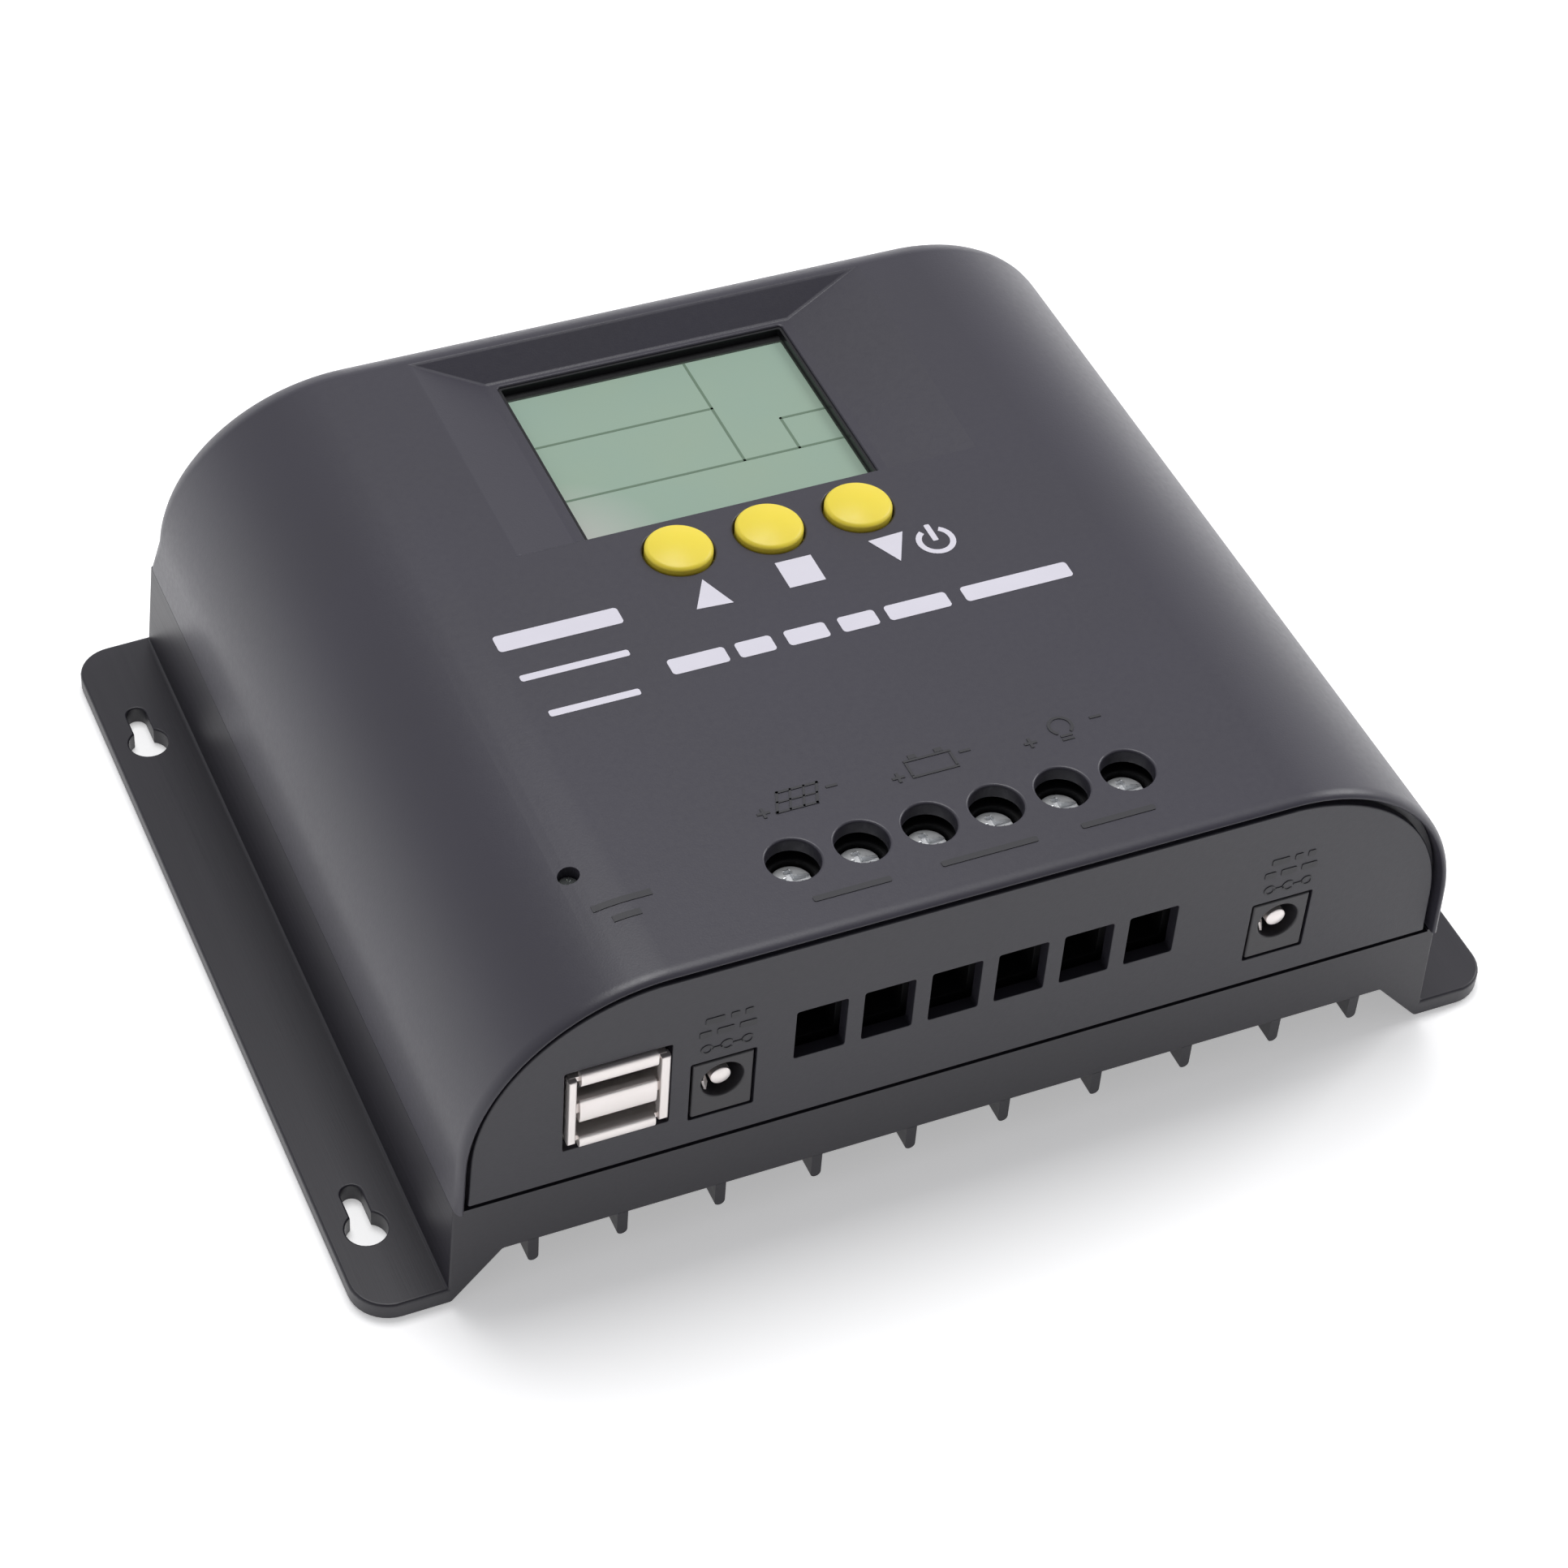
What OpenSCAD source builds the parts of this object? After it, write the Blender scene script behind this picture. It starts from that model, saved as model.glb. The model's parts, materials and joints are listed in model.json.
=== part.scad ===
// Wall-mounted solar charge controller: finned aluminium tray, moulded cover with a recessed
// display, three push buttons, a six-pole screw terminal, a double USB port and two barrel sockets.
// X runs along the terminal face, Y from the terminal face to the back, Z up from the wall.
// The origin is at the middle of the underside.

/* [Case] */
// Width over both mounting flanges
overall_w = 180.4; // [178:0.2:186]
// Depth of the tray from its front face to its back
base_d = 141.3; // [140:0.1:144]
// Height of the flat top above the wall
case_h = 57; // [56.6:0.1:57.4]
// Radius of the rounded left and right shoulders
shoulder_r = 30; // [28:0.5:31]
// Distance from the middle to the centre of a shoulder arc
shoulder_x = 46.5; // [46:0.1:47]
// Inward lean of the side walls, in degrees
side_lean = 2.4; // [1.5:0.1:3]
// Forward lean of the back wall, in degrees
rear_lean = 6.6; // [4:0.1:7]
// Radius of the rounded top rear edge
rear_edge_r = 5; // [3:0.5:6]
// Thickness of the moulded cover
cover_wall = 2.2; // [2:0.1:2.4]
// How far the cover's front rim stands out in front of the front panel
lip = 1.1; // [0.6:0.1:1.4]

/* [Heatsink tray] */
// Thickness of the mounting flanges
flange_t = 3; // [2.5:0.1:3.5]
// Corner radius of the mounting flanges
flange_corner_r = 6; // [4:0.5:8]
// Height of the tray's underside above the wall
underside_z = 8.5; // [8:0.1:9]
// Thickness of the tray floor
floor_t = 3.5; // [3:0.1:3.5]
// Thickness of the tray walls
tray_wall = 2.6; // [2.2:0.1:3]
// Top of the tray's front band, where the seam runs
band_top = 19.2; // [18:0.1:19.4]
// Thickness of a cooling fin
fin_t = 1.6; // [1.2:0.1:2]
// Gap from the wall to the fin tips
fin_tip_z = 4.2; // [3:0.1:5]
// Spacing of the cooling fins
fin_pitch = 14.8; // [14:0.1:14.8]
// Spacing of the outermost fin from its neighbour
fin_end_pitch = 13.3; // [12:0.1:13.3]

/* [Keyholes] */
// Diameter of the round end of a keyhole
keyhole_d = 6.1; // [5.5:0.1:7.5]
// Width of the narrow end of a keyhole
keyhole_slot_w = 3.1; // [2.8:0.1:4.5]
// Distance from the round end to the narrow end
keyhole_run = 6.6; // [6:0.1:8]
// Distance between the left and right keyholes
keyhole_span_x = 169; // [168:0.1:170]
// Distance between the front and back keyholes
keyhole_span_y = 103.7; // [100:0.1:106]
// Distance from the tray's front face to the front keyholes
keyhole_from_front = 14.4; // [13:0.1:18]

/* [Terminals] */
// Number of wire terminals
pole_count = 6; // [6]
// Spacing of the wire terminals
pole_pitch = 10.16; // [10.16]
// Middle of the terminal row, left or right of the case's middle
pole_row_x = 1.86; // [1:0.01:2.5]
// Distance from the tray's front face to the terminal screws
screw_from_front = 12.8; // [12.6:0.1:13]
// Diameter of the screwdriver holes in the cover
driver_hole_d = 7.7; // [7:0.1:8]
// Width of a wire window
window_w = 7.6; // [7:0.1:7.6]
// Bottom of the wire windows
window_z0 = 31.5; // [31.3:0.1:32]
// Top of the wire windows
window_z1 = 40.8; // [40:0.1:40.9]
// Travel of a clamp cage from open to shut
cage_travel = 6.3; // [5:0.1:6.3]

/* [Display and buttons] */
// Left and right ends of the display window
display_x = [-24.7, 22.7];
// Front and back ends of the display window, from the tray's front face
display_y = [85.2, 124.2];
// Depth of the recess around the display window
pocket_depth = 3.5; // [3:0.1:3.6]
// Diameter of a button
button_d = 10.2; // [9.6:0.1:10.4]
// Spacing of the buttons
button_pitch = 14.36; // [14:0.02:14.6]
// Distance from the tray's front face to the buttons
button_from_front = 76.2; // [75.8:0.1:76.4]
// Height of a button's edge above the cover
button_proud = 0.9; // [0.6:0.1:1.2]
// Travel of a button
button_travel = 0.5; // [0.3:0.05:0.6]

/* [Sockets] */
// Width and height of a barrel socket's face
jack_face = [9, 10.7];
// Middles of the two barrel sockets
jack_x = [-37.9, 48.4];
// Height of the barrel holes' centres
jack_hole_z = 31.4; // [31:0.1:31.8]
// Diameter of a barrel hole
jack_hole_d = 6.3; // [6:0.1:6.5]
// Diameter of a barrel socket's centre pin
jack_pin_d = 2.1; // [2:0.1:2.5]
// Middle of the double USB port
usb_x = -53.4; // [-53.6:0.1:-53]
// Width of the double USB port
usb_w = 14.8; // [14.2:0.1:15]
// Bottom and top of the visible part of the double USB port
usb_z = [27.2, 40.3];

/* [Boards] */
// Underside of the main board
board_z = 23.4; // [23.4]
// Thickness of both circuit boards
board_t = 1.6; // [1.5:0.1:1.6]

/* [Hidden] */
$fn = 64;
eps = 0.01;
cut = 1;                 // how far a cutter runs past a face
fit = 0.15;              // gap between parts that only sit beside each other
run_fit = 0.05;          // radial gap of a shaft that turns or slides
thread_gap = 0.02;       // radial gap drawn between a screw and its thread
screw_clear = 0.2;       // radial gap of a hole that a screw only passes through

rear_y = (base_d + lip) / 2;
lip_y = -rear_y;
face_y = lip_y + lip;
function from_front(d) = face_y + d;

// Shoulder arc centre, and the tangent point where the leaning wall meets the arc
shoulder_z = case_h - shoulder_r;
tangent_x = shoulder_x + shoulder_r * cos(side_lean);
tangent_z = shoulder_z + shoulder_r * sin(side_lean);
function wall_x(z, inset) = tangent_x - inset / cos(side_lean) + (tangent_z - z) * tan(side_lean);
function rear_wall_y(z, inset) = rear_y - inset / cos(rear_lean) - (z - flange_t) * tan(rear_lean);

floor_z = underside_z + floor_t;
cover_bottom = 19.7;
panel_bottom = band_top + 0.7;
panel_t = 2;
panel_back_y = face_y + panel_t;
rim_t = 1.2;             // cover wall in front of the panel's stop
groove = 0.9;            // shadow groove round the panel's face
underside_chamfer = 7.5;
foot_x = 77;             // where the flange's underside turns up to the raised floor
board_top = board_z + board_t;
board2_top = 45.6;       // top of the display board
board2_z = board2_top - board_t;
inner_top = case_h - cover_wall;
pocket_floor_t = 1.6;    // cover under the display recess

pole_x = [for (i = [0 : pole_count - 1]) pole_row_x + (i - (pole_count - 1) / 2) * pole_pitch];
pole_y = from_front(screw_from_front);
button_x = [for (i = [-1 : 1]) i * button_pitch];
button_y = from_front(button_from_front);
led_x = -52.9;
led_y = from_front(21);
led_d = 3;

// Cover posts pass through the main board between two fins
post_x = 58.4;
post_y = [-42, 50];
post_r = 3.4;
post_screw_r = 1.5;
post_thread_len = 12;
display_thread_len = 5.5;
standoff_x = 66;
standoff_y = [-62, 57];
standoff_r = 3.5;
display_post = [[-34, 14.5], [32, 14.5], [-34, 56], [32, 56]];
display_post_r = 3;
display_screw_r = 1.25;

// Power transistors stand on the tray floor, under the main board
clamp_y = 41;
transistor_pitch = 17;
transistor_x = [for (i = [-2.5 : 1 : 2.5]) i * transistor_pitch];
clamp_screw_x = [-2 * transistor_pitch, 0, 2 * transistor_pitch];

// ---------------------------------------------------------------- helpers

// Extrudes a 2D shape drawn in X and Z from y0 to y1
module along_y(y0, y1) {
  translate([0, y1, 0]) rotate([90, 0, 0]) linear_extrude(y1 - y0) children();
}

// Extrudes a 2D shape drawn in Y and Z from x0 to x1
module along_x(x0, x1) {
  translate([x0, 0, 0]) rotate([90, 0, 90]) linear_extrude(x1 - x0) children();
}

// A box from its lowest corner to its highest corner
module box(low, high) {
  translate(low) cube(high - low);
}

// The D-shaped cross-section of the case, set in by inset, above z0, which is below the shoulders
module case_profile(inset, z0) {
  r = shoulder_r - inset;
  joint_x = shoulder_x + r * cos(side_lean);
  joint_z = shoulder_z + r * sin(side_lean);
  for (side = [-1, 1])
    intersection() {
      translate([side * shoulder_x, shoulder_z]) circle(r, $fn = 128);
      translate([side > 0 ? shoulder_x : -2 * shoulder_x, z0]) square([shoulder_x, case_h]);
    }
  polygon([
    [-wall_x(z0, inset), z0],
    [wall_x(z0, inset), z0],
    [joint_x, joint_z],
    [shoulder_x, case_h - inset],
    [-shoulder_x, case_h - inset],
    [-joint_x, joint_z]
  ]);
}

// The side view of the case: upright in front, leaning at the back
module side_profile(inset, z0, z1, y0) {
  polygon([
    [y0, z0],
    [rear_wall_y(z0, inset), z0],
    [rear_wall_y(z1, inset), z1],
    [y0, z1]
  ]);
}

// A solid case body between z0 and z1, set in from every outer face
module case_body(inset, z0, z1, y0) {
  intersection() {
    along_y(y0, rear_y + cut) case_profile(inset, z0);
    along_x(-overall_w, overall_w) side_profile(inset, z0, z1, y0);
  }
}

// What the rounded top rear edge takes away from the case
module rear_edge_waste() {
  overlap = 0.1;
  z = case_h - rear_edge_r + overlap / 2;
  y = rear_wall_y(z, 0) - rear_edge_r + overlap;
  along_x(-overall_w, overall_w)
    difference() {
      translate([y, z]) square(2 * rear_edge_r);
      translate([y, z]) circle(rear_edge_r, $fn = 96);
    }
}

// Copies its children to both sides and to each place in ys
module at_pairs(x, ys) {
  for (sx = [-1, 1], y = ys) translate([sx * x, y, 0]) children();
}

// A vertical cylinder between z0 and z1
module rod(r, z0, z1) {
  translate([0, 0, z0]) cylinder(r = r, h = z1 - z0);
}

// A screw standing on its head: the head's seat is at z = 0 and the shank points down
module screw(shank_r, shank_len, head_r, head_h) {
  recess = head_h * 0.45;
  difference() {
    union() {
      cylinder(r = head_r, h = head_h);
      translate([0, 0, -shank_len]) cylinder(r = shank_r, h = shank_len + eps);
    }
    for (turn = [0, 90])
      rotate([0, 0, turn])
        translate([-head_r * 0.7, -head_r * 0.13, head_h - recess])
          cube([head_r * 1.4, head_r * 0.26, recess + cut]);
  }
}

// ---------------------------------------------------------------- case

module keyhole() {
  translate([0, 0, -cut]) cylinder(d = keyhole_d, h = flange_t + 2 * cut);
  translate([0, keyhole_run, -cut]) cylinder(d = keyhole_slot_w, h = flange_t + 2 * cut);
  translate([-keyhole_slot_w / 2, 0, -cut]) cube([keyhole_slot_w, keyhole_run, flange_t + 2 * cut]);
}

module flange_plate() {
  r = flange_corner_r;
  x = overall_w / 2;
  linear_extrude(flange_t) {
    translate([-x, face_y + r]) square([2 * x, base_d - 2 * r]);
    translate([-x + r, face_y]) square([2 * x - 2 * r, base_d]);
    for (sx = [-1, 1], sy = [face_y + r, rear_y - r]) translate([sx * (x - r), sy]) circle(r);
  }
}

fin_x = concat(
  [for (side = [-1, 1], i = [0 : 3]) side * (i + 0.5) * fin_pitch],
  [for (side = [-1, 1]) side * (3.5 * fin_pitch + fin_end_pitch)]
);

// Everything above the tray floor and inside its walls
module tray_interior(y0) {
  intersection() {
    along_y(y0, rear_y)
      polygon([
        [-wall_x(floor_z, tray_wall), floor_z],
        [wall_x(floor_z, tray_wall), floor_z],
        [wall_x(case_h, tray_wall), case_h],
        [-wall_x(case_h, tray_wall), case_h]
      ]);
    along_x(-overall_w, overall_w) side_profile(tray_wall, floor_z, case_h, y0);
  }
}

// Removes the space under the tray, which has sloping ends
module raised_underside() {
  along_y(face_y - cut, rear_y + cut)
    polygon([
      [-foot_x, -eps],
      [foot_x, -eps],
      [foot_x - underside_chamfer, underside_z],
      [-foot_x + underside_chamfer, underside_z]
    ]);
}

module heatsink_base() {
  ledge_x = 68;            // half the length of the ledge that stops the front panel from behind
  ledge_y = [panel_back_y + 0.1, face_y + tray_wall + 0.6];
  ledge_top = 21.6;
  band_x = wall_x(band_top, rim_t + fit);
  fin_back_y = rear_y - 1;
  keyhole_y = from_front(keyhole_from_front);
  color("#3a393e")
    difference() {
      union() {
        difference() {
          union() {
            flange_plate();
            intersection() {
              case_body(0, 0, cover_bottom - 0.1, face_y);
              box([-overall_w, face_y, 0], [overall_w, rear_y, cover_bottom]);
            }
          }
          raised_underside();
          tray_interior(ledge_y[1]);
          // the front band is lower than the side walls
          box([-band_x, face_y - cut, band_top], [band_x, ledge_y[1], case_h]);
        }
        box([-ledge_x, ledge_y[0], band_top - eps], [ledge_x, ledge_y[1], ledge_top]);
        for (x = fin_x)
          box([x - fin_t / 2, face_y, fin_tip_z], [x + fin_t / 2, fin_back_y, underside_z + eps]);
        at_pairs(standoff_x, standoff_y) rod(standoff_r, floor_z - eps, board_z);
      }
      at_pairs(keyhole_span_x / 2, [keyhole_y, keyhole_y + keyhole_span_y]) keyhole();
      at_pairs(standoff_x, standoff_y) rod(post_screw_r + thread_gap, floor_z + 2, board_z + cut);
      at_pairs(post_x, post_y) rod(post_screw_r + screw_clear, underside_z - cut, floor_z + cut);
      for (x = clamp_screw_x)
        translate([x, clamp_y, 0]) rod(post_screw_r + thread_gap, underside_z + 0.6, floor_z + cut);
    }
}

// The flared recess round the display: sloping left, right and back sides, upright front
module display_pocket() {
  floor_x = [display_x[0] - 1.6, display_x[1] + 1.6];
  flare_x = [-37, 37];
  floor_back = from_front(display_y[1] + 1);
  flare_back = from_front(129.5);
  front = from_front(83.2);
  z0 = case_h - pocket_depth;
  rise = cut / pocket_depth;
  intersection() {
    along_y(front, rear_y)
      polygon([
        [floor_x[0], z0],
        [floor_x[1], z0],
        [flare_x[1] + rise * (flare_x[1] - floor_x[1]), case_h + cut],
        [flare_x[0] - rise * (floor_x[0] - flare_x[0]), case_h + cut]
      ]);
    along_x(-shoulder_x, shoulder_x)
      polygon([
        [front, z0],
        [floor_back, z0],
        [flare_back + rise * (flare_back - floor_back), case_h + cut],
        [front, case_h + cut]
      ]);
  }
}

module top_cover() {
  tub_z = case_h - pocket_depth - pocket_floor_t;
  tub_x = 41;
  button_gap = 0.25;
  top_overlap = 0.5;       // how far the display posts run up into the cover's top
  color("#4b4a50")
    difference() {
      union() {
        difference() {
          case_body(0, cover_bottom, case_h, lip_y);
          case_body(cover_wall, cover_bottom - cut, inner_top, panel_back_y + 0.05);
          along_y(lip_y - cut, panel_back_y + 0.1) case_profile(rim_t, cover_bottom - cut);
        }
        // tub that carries the display recess
        along_x(-tub_x, tub_x) side_profile(cover_wall / 2, tub_z, case_h - 0.5, from_front(82));
        // posts for the case screws
        for (y = post_y)
          intersection() {
            along_y(y - 2 * post_r, y + 2 * post_r) case_profile(cover_wall / 2, floor_z);
            at_pairs(post_x, [y]) rod(post_r, floor_z + 0.05, case_h);
          }
        for (p = display_post)
          translate([p[0], p[1], 0]) rod(display_post_r, board2_top + 0.05, inner_top + top_overlap);
      }
      rear_edge_waste();
      display_pocket();
      box(
        [display_x[0], from_front(display_y[0]), tub_z - cut],
        [display_x[1], from_front(display_y[1]), case_h]
      );
      for (x = button_x)
        translate([x, button_y, 0]) rod(button_d / 2 + button_gap, tub_z - cut, case_h + cut);
      for (x = pole_x) translate([x, pole_y, 0]) rod(driver_hole_d / 2, inner_top - cut, case_h + cut);
      translate([led_x, led_y, 0]) rod(led_d / 2, inner_top - 2 * cut, case_h + cut);
      at_pairs(post_x, post_y) rod(post_screw_r + thread_gap, floor_z - cut, floor_z + post_thread_len);
      for (p = display_post)
        translate([p[0], p[1], 0])
          rod(display_screw_r + thread_gap, board2_top - cut, board2_top + display_thread_len);
    }
}

module front_panel() {
  socket_gap = 0.35;
  cut_y = [lip_y, panel_back_y + cut];
  color("#454449")
    difference() {
      union() {
        along_y(face_y, panel_back_y) case_profile(rim_t + groove, panel_bottom);
        along_y(face_y + 1.2, panel_back_y) case_profile(rim_t + fit, panel_bottom);
      }
      for (x = pole_x)
        box([x - window_w / 2, cut_y[0], window_z0], [x + window_w / 2, cut_y[1], window_z1]);
      for (x = jack_x)
        box(
          [x - jack_face[0] / 2 - socket_gap, cut_y[0], board_top - socket_gap],
          [x + jack_face[0] / 2 + socket_gap, cut_y[1], board_top + jack_face[1] + socket_gap]
        );
      box(
        [usb_x - usb_w / 2 - 0.2, cut_y[0], usb_z[0] - 0.2],
        [usb_x + usb_w / 2 + 0.2, cut_y[1], usb_z[1] + 0.2]
      );
    }
}

module cover_screws() {
  color("silver")
    for (sx = [-1, 1], y = post_y)
      translate([sx * post_x, y, underside_z - 0.02])
        mirror([0, 0, 1]) screw(post_screw_r, post_thread_len + 1, 2.75, 2);
}

// ---------------------------------------------------------------- boards

module main_board() {
  board_x = 70;
  board_y = [from_front(4.1), 62];
  color("#1f5c33")
    difference() {
      box([-board_x, board_y[0], board_z], [board_x, board_y[1], board_top]);
      at_pairs(standoff_x, standoff_y) rod(post_screw_r + screw_clear, board_z - cut, board_top + cut);
      at_pairs(post_x, post_y) rod(post_r + 0.6, board_z - cut, board_top + cut);
    }
}

module board_screws() {
  color("silver")
    at_pairs(standoff_x, standoff_y)
      translate([0, 0, board_top + 0.02]) screw(post_screw_r, 8, 2.75, 2);
}

module display_board() {
  color("#1f5c33")
    difference() {
      box([-38, from_front(68), board2_z], [36, from_front(130), board2_top]);
      for (p = display_post)
        translate([p[0], p[1], 0]) rod(display_screw_r + screw_clear, board2_z - cut, board2_top + cut);
    }
}

module display_screws() {
  color("silver")
    for (p = display_post)
      translate([p[0], p[1], board2_z - 0.02])
        mirror([0, 0, 1]) screw(display_screw_r, display_thread_len + 1, 2.3, 1.5);
}

// ---------------------------------------------------------------- power stage under the main board

pad_t = 0.3;
package = [10.2, 9.2, 4.5];

module insulating_pad() {
  color("lightgrey")
    difference() {
      box([-50, clamp_y - 6, floor_z], [50, clamp_y + 12, floor_z + pad_t]);
      for (x = clamp_screw_x)
        translate([x, clamp_y, 0]) rod(post_screw_r + screw_clear, floor_z - cut, floor_z + pad_t + cut);
    }
}

module transistor() {
  lead_t = 0.6;
  lead_w = 0.8;
  lead_z = floor_z + pad_t + 2;
  lead_y = -package[1] / 2 - 4;
  half = package / 2;
  tab_len = 6.3;
  tab_t = 1.3;
  z0 = floor_z + pad_t;
  difference() {
    box([-half[0], half[1] - eps, z0], [half[0], half[1] + tab_len, z0 + tab_t]);
    translate([0, half[1] + tab_len / 2, 0]) rod(1.8, z0 - cut, z0 + tab_t + cut);
  }
  box([-half[0], -half[1], z0], [half[0], half[1], z0 + package[2]]);
  for (x = [-2.54, 0, 2.54]) {
    box([x - lead_w / 2, lead_y, lead_z], [x + lead_w / 2, -half[1] + eps, lead_z + lead_t]);
    box([x - lead_w / 2, lead_y, lead_z], [x + lead_w / 2, lead_y + lead_t, board_z - 0.05]);
  }
}

module power_transistors() {
  color("#202022")
    for (x = transistor_x) translate([x, clamp_y, 0]) transistor();
}

clamp_bar_z = floor_z + pad_t + package[2];
clamp_bar_t = 2.8;

module clamp_bar() {
  color("silver")
    difference() {
      box([-48, clamp_y - 4, clamp_bar_z], [48, clamp_y + 4, clamp_bar_z + clamp_bar_t]);
      for (x = clamp_screw_x)
        translate([x, clamp_y, 0])
          rod(post_screw_r + screw_clear, clamp_bar_z - cut, clamp_bar_z + clamp_bar_t + cut);
    }
}

module clamp_bar_screws() {
  z = clamp_bar_z + clamp_bar_t;
  color("silver")
    for (x = clamp_screw_x)
      translate([x, clamp_y, z + 0.02]) screw(post_screw_r, z - underside_z - 1, 2.75, 2);
}

// ---------------------------------------------------------------- terminals

housing_y = [from_front(3.7), from_front(23)];
housing_top = 53.4;
cage_w = 7.8;
cage_d = 8;
cage_z = [29.2, 43.9];
cage_wall = [0.9, 1.6, 1.8];   // sides, top, bottom
head_r = 3.1;
head_t = 1.8;
web_z = 50.5;                  // underside of the web that holds the screw head
web_t = 0.8;
bar_z = [40.9, 42.1];
bar_w = 5.4;
bar_y = [pole_y - 5.2, pole_y + 7.4];
shank_r = 2;

module terminal_housing() {
  gap = 0.15;
  end_wall = 5.6;
  shaft = [cage_w / 2 + gap, cage_d / 2 + gap];
  slot = bar_w / 2 + gap;
  slot_z = [bar_z[0] - 0.1, bar_z[1] + 0.1];
  color("#1b1b1d")
    difference() {
      box(
        [pole_x[0] - end_wall, housing_y[0], board_top + 0.03],
        [pole_x[pole_count - 1] + end_wall, housing_y[1], housing_top]
      );
      for (x = pole_x) {
        // cage shaft
        box([x - shaft[0], pole_y - shaft[1], cage_z[0] - 0.6], [x + shaft[0], pole_y + shaft[1], web_z]);
        // wire entry
        box([x - window_w / 2, housing_y[0] - cut, window_z0 - 0.2],
            [x + window_w / 2, pole_y, window_z1 + 0.1]);
        // screw bore and head recess
        translate([x, pole_y, 0]) {
          rod(shank_r + 0.1, web_z - cut, web_z + web_t + cut);
          rod(head_r + 0.3, web_z + web_t, housing_top + cut);
        }
        // slots for the contact bar and its leg
        box([x - slot, bar_y[0] - gap, slot_z[0]], [x + slot, pole_y, slot_z[1]]);
        box([x - slot, pole_y, board_top - cut], [x + slot, bar_y[1] + gap, slot_z[1]]);
      }
    }
}

module contact_bars() {
  leg_t = 1.2;
  color("goldenrod")
    for (x = pole_x) {
      box([x - bar_w / 2, bar_y[0], bar_z[0]], [x + bar_w / 2, bar_y[1], bar_z[1]]);
      box([x - bar_w / 2, bar_y[1] - leg_t, board_top + 0.05], [x + bar_w / 2, bar_y[1], bar_z[1]]);
    }
}

module terminal_screw(i) {
  seat = web_z + web_t + 0.1;
  tip = bar_z[1] + 0.2;
  slot_w = 1;
  slot_depth = 0.9;
  color("silver")
    translate([pole_x[i], pole_y, 0])
      difference() {
        union() {
          rod(head_r, seat, seat + head_t);
          rod(shank_r, tip, seat + eps);
        }
        translate([0, 0, seat + head_t - slot_depth]) {
          translate([-head_r - cut, -slot_w / 2, 0]) cube([2 * (head_r + cut), slot_w, 2]);
          translate([-slot_w / 2, -shank_r, 0]) cube([slot_w, 2 * shank_r, 2]);
        }
      }
}

module clamp_cage(i) {
  low = [-cage_w / 2, -cage_d / 2, cage_z[0]];
  high = [cage_w / 2, cage_d / 2, cage_z[1]];
  ceiling = high[2] - cage_wall[1];
  color("#3b3b3f")
    translate([pole_x[i], pole_y, 0])
      difference() {
        box(low, high);
        box(
          [low[0] + cage_wall[0], low[1] - cut, low[2] + cage_wall[2]],
          [high[0] - cage_wall[0], high[1] + cut, ceiling]
        );
        rod(shank_r + run_fit, ceiling - cut, high[2] + cut);
      }
}

// ---------------------------------------------------------------- sockets

usb_slot_h = 4.6;
usb_slot_w = 12.8;
usb_slot_back = from_front(13);
usb_slots = [usb_z[0] + 1, usb_z[1] - 1 - usb_slot_h];

module usb_shell() {
  x0 = usb_x - usb_w / 2;
  x1 = usb_x + usb_w / 2;
  front = face_y - 0.5;
  back = from_front(17);
  color("#d8d3cc")
    difference() {
      union() {
        box([x0, front, usb_z[0]], [x1, back, usb_z[1]]);
        box([x0, panel_back_y + 0.3, board_top + 0.05], [x1, back, usb_z[1]]);
      }
      for (z = usb_slots)
        box(
          [usb_x - usb_slot_w / 2, front - cut, z],
          [usb_x + usb_slot_w / 2, usb_slot_back, z + usb_slot_h]
        );
    }
}

module usb_tongues() {
  color("#222222")
    for (z = usb_slots)
      box([usb_x - 5.6, face_y + 0.8, z + 2.4], [usb_x + 5.6, usb_slot_back, z + 4.3]);
}

jack_hole_depth = 9.5;
jack_pin_recess = 1.2;

module barrel_socket(x) {
  z0 = board_top + 0.05;
  color("#26262a")
    difference() {
      box([x - jack_face[0] / 2, face_y + 0.05, z0],
          [x + jack_face[0] / 2, from_front(14), z0 + jack_face[1]]);
      translate([x, from_front(jack_hole_depth), jack_hole_z])
        rotate([90, 0, 0]) cylinder(d = jack_hole_d, h = jack_hole_depth + cut);
    }
}

module barrel_socket_pins() {
  color("silver")
    for (x = jack_x)
      translate([x, from_front(jack_hole_depth), jack_hole_z])
        rotate([90, 0, 0]) cylinder(d = jack_pin_d, h = jack_hole_depth - jack_pin_recess);
}

// ---------------------------------------------------------------- display, buttons, indicator

glass_low = [-26.8, from_front(83.4), 49];
glass_high = [24.8, from_front(126), 51.8];

module display_glass() {
  color("#9fb39f") box(glass_low, glass_high);
}

module display_backlight() {
  low = [glass_low[0] + 0.3, glass_low[1] + 0.4, board2_top + 0.1];
  high = [glass_high[0] - 0.3, glass_high[1] - 0.4, glass_low[2] - 0.05];
  color("white") box(low, high);
}

module display_frame() {
  gap = [0.1, 0.1, 0];
  wall = [1.2, 1.2, 0];
  low = [glass_low[0], glass_low[1], board2_top + 0.05];
  color("#222222")
    difference() {
      box(low - gap - wall, glass_high + gap + wall);
      box(low - gap - [0, 0, cut], glass_high + gap + [0, 0, cut]);
    }
}

cap_flange = [53.5, 54.5];
plunger_top = 50.3;
plunger_r = 1.7;
switch_size = 6;
switch_top = 49.1;

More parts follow.
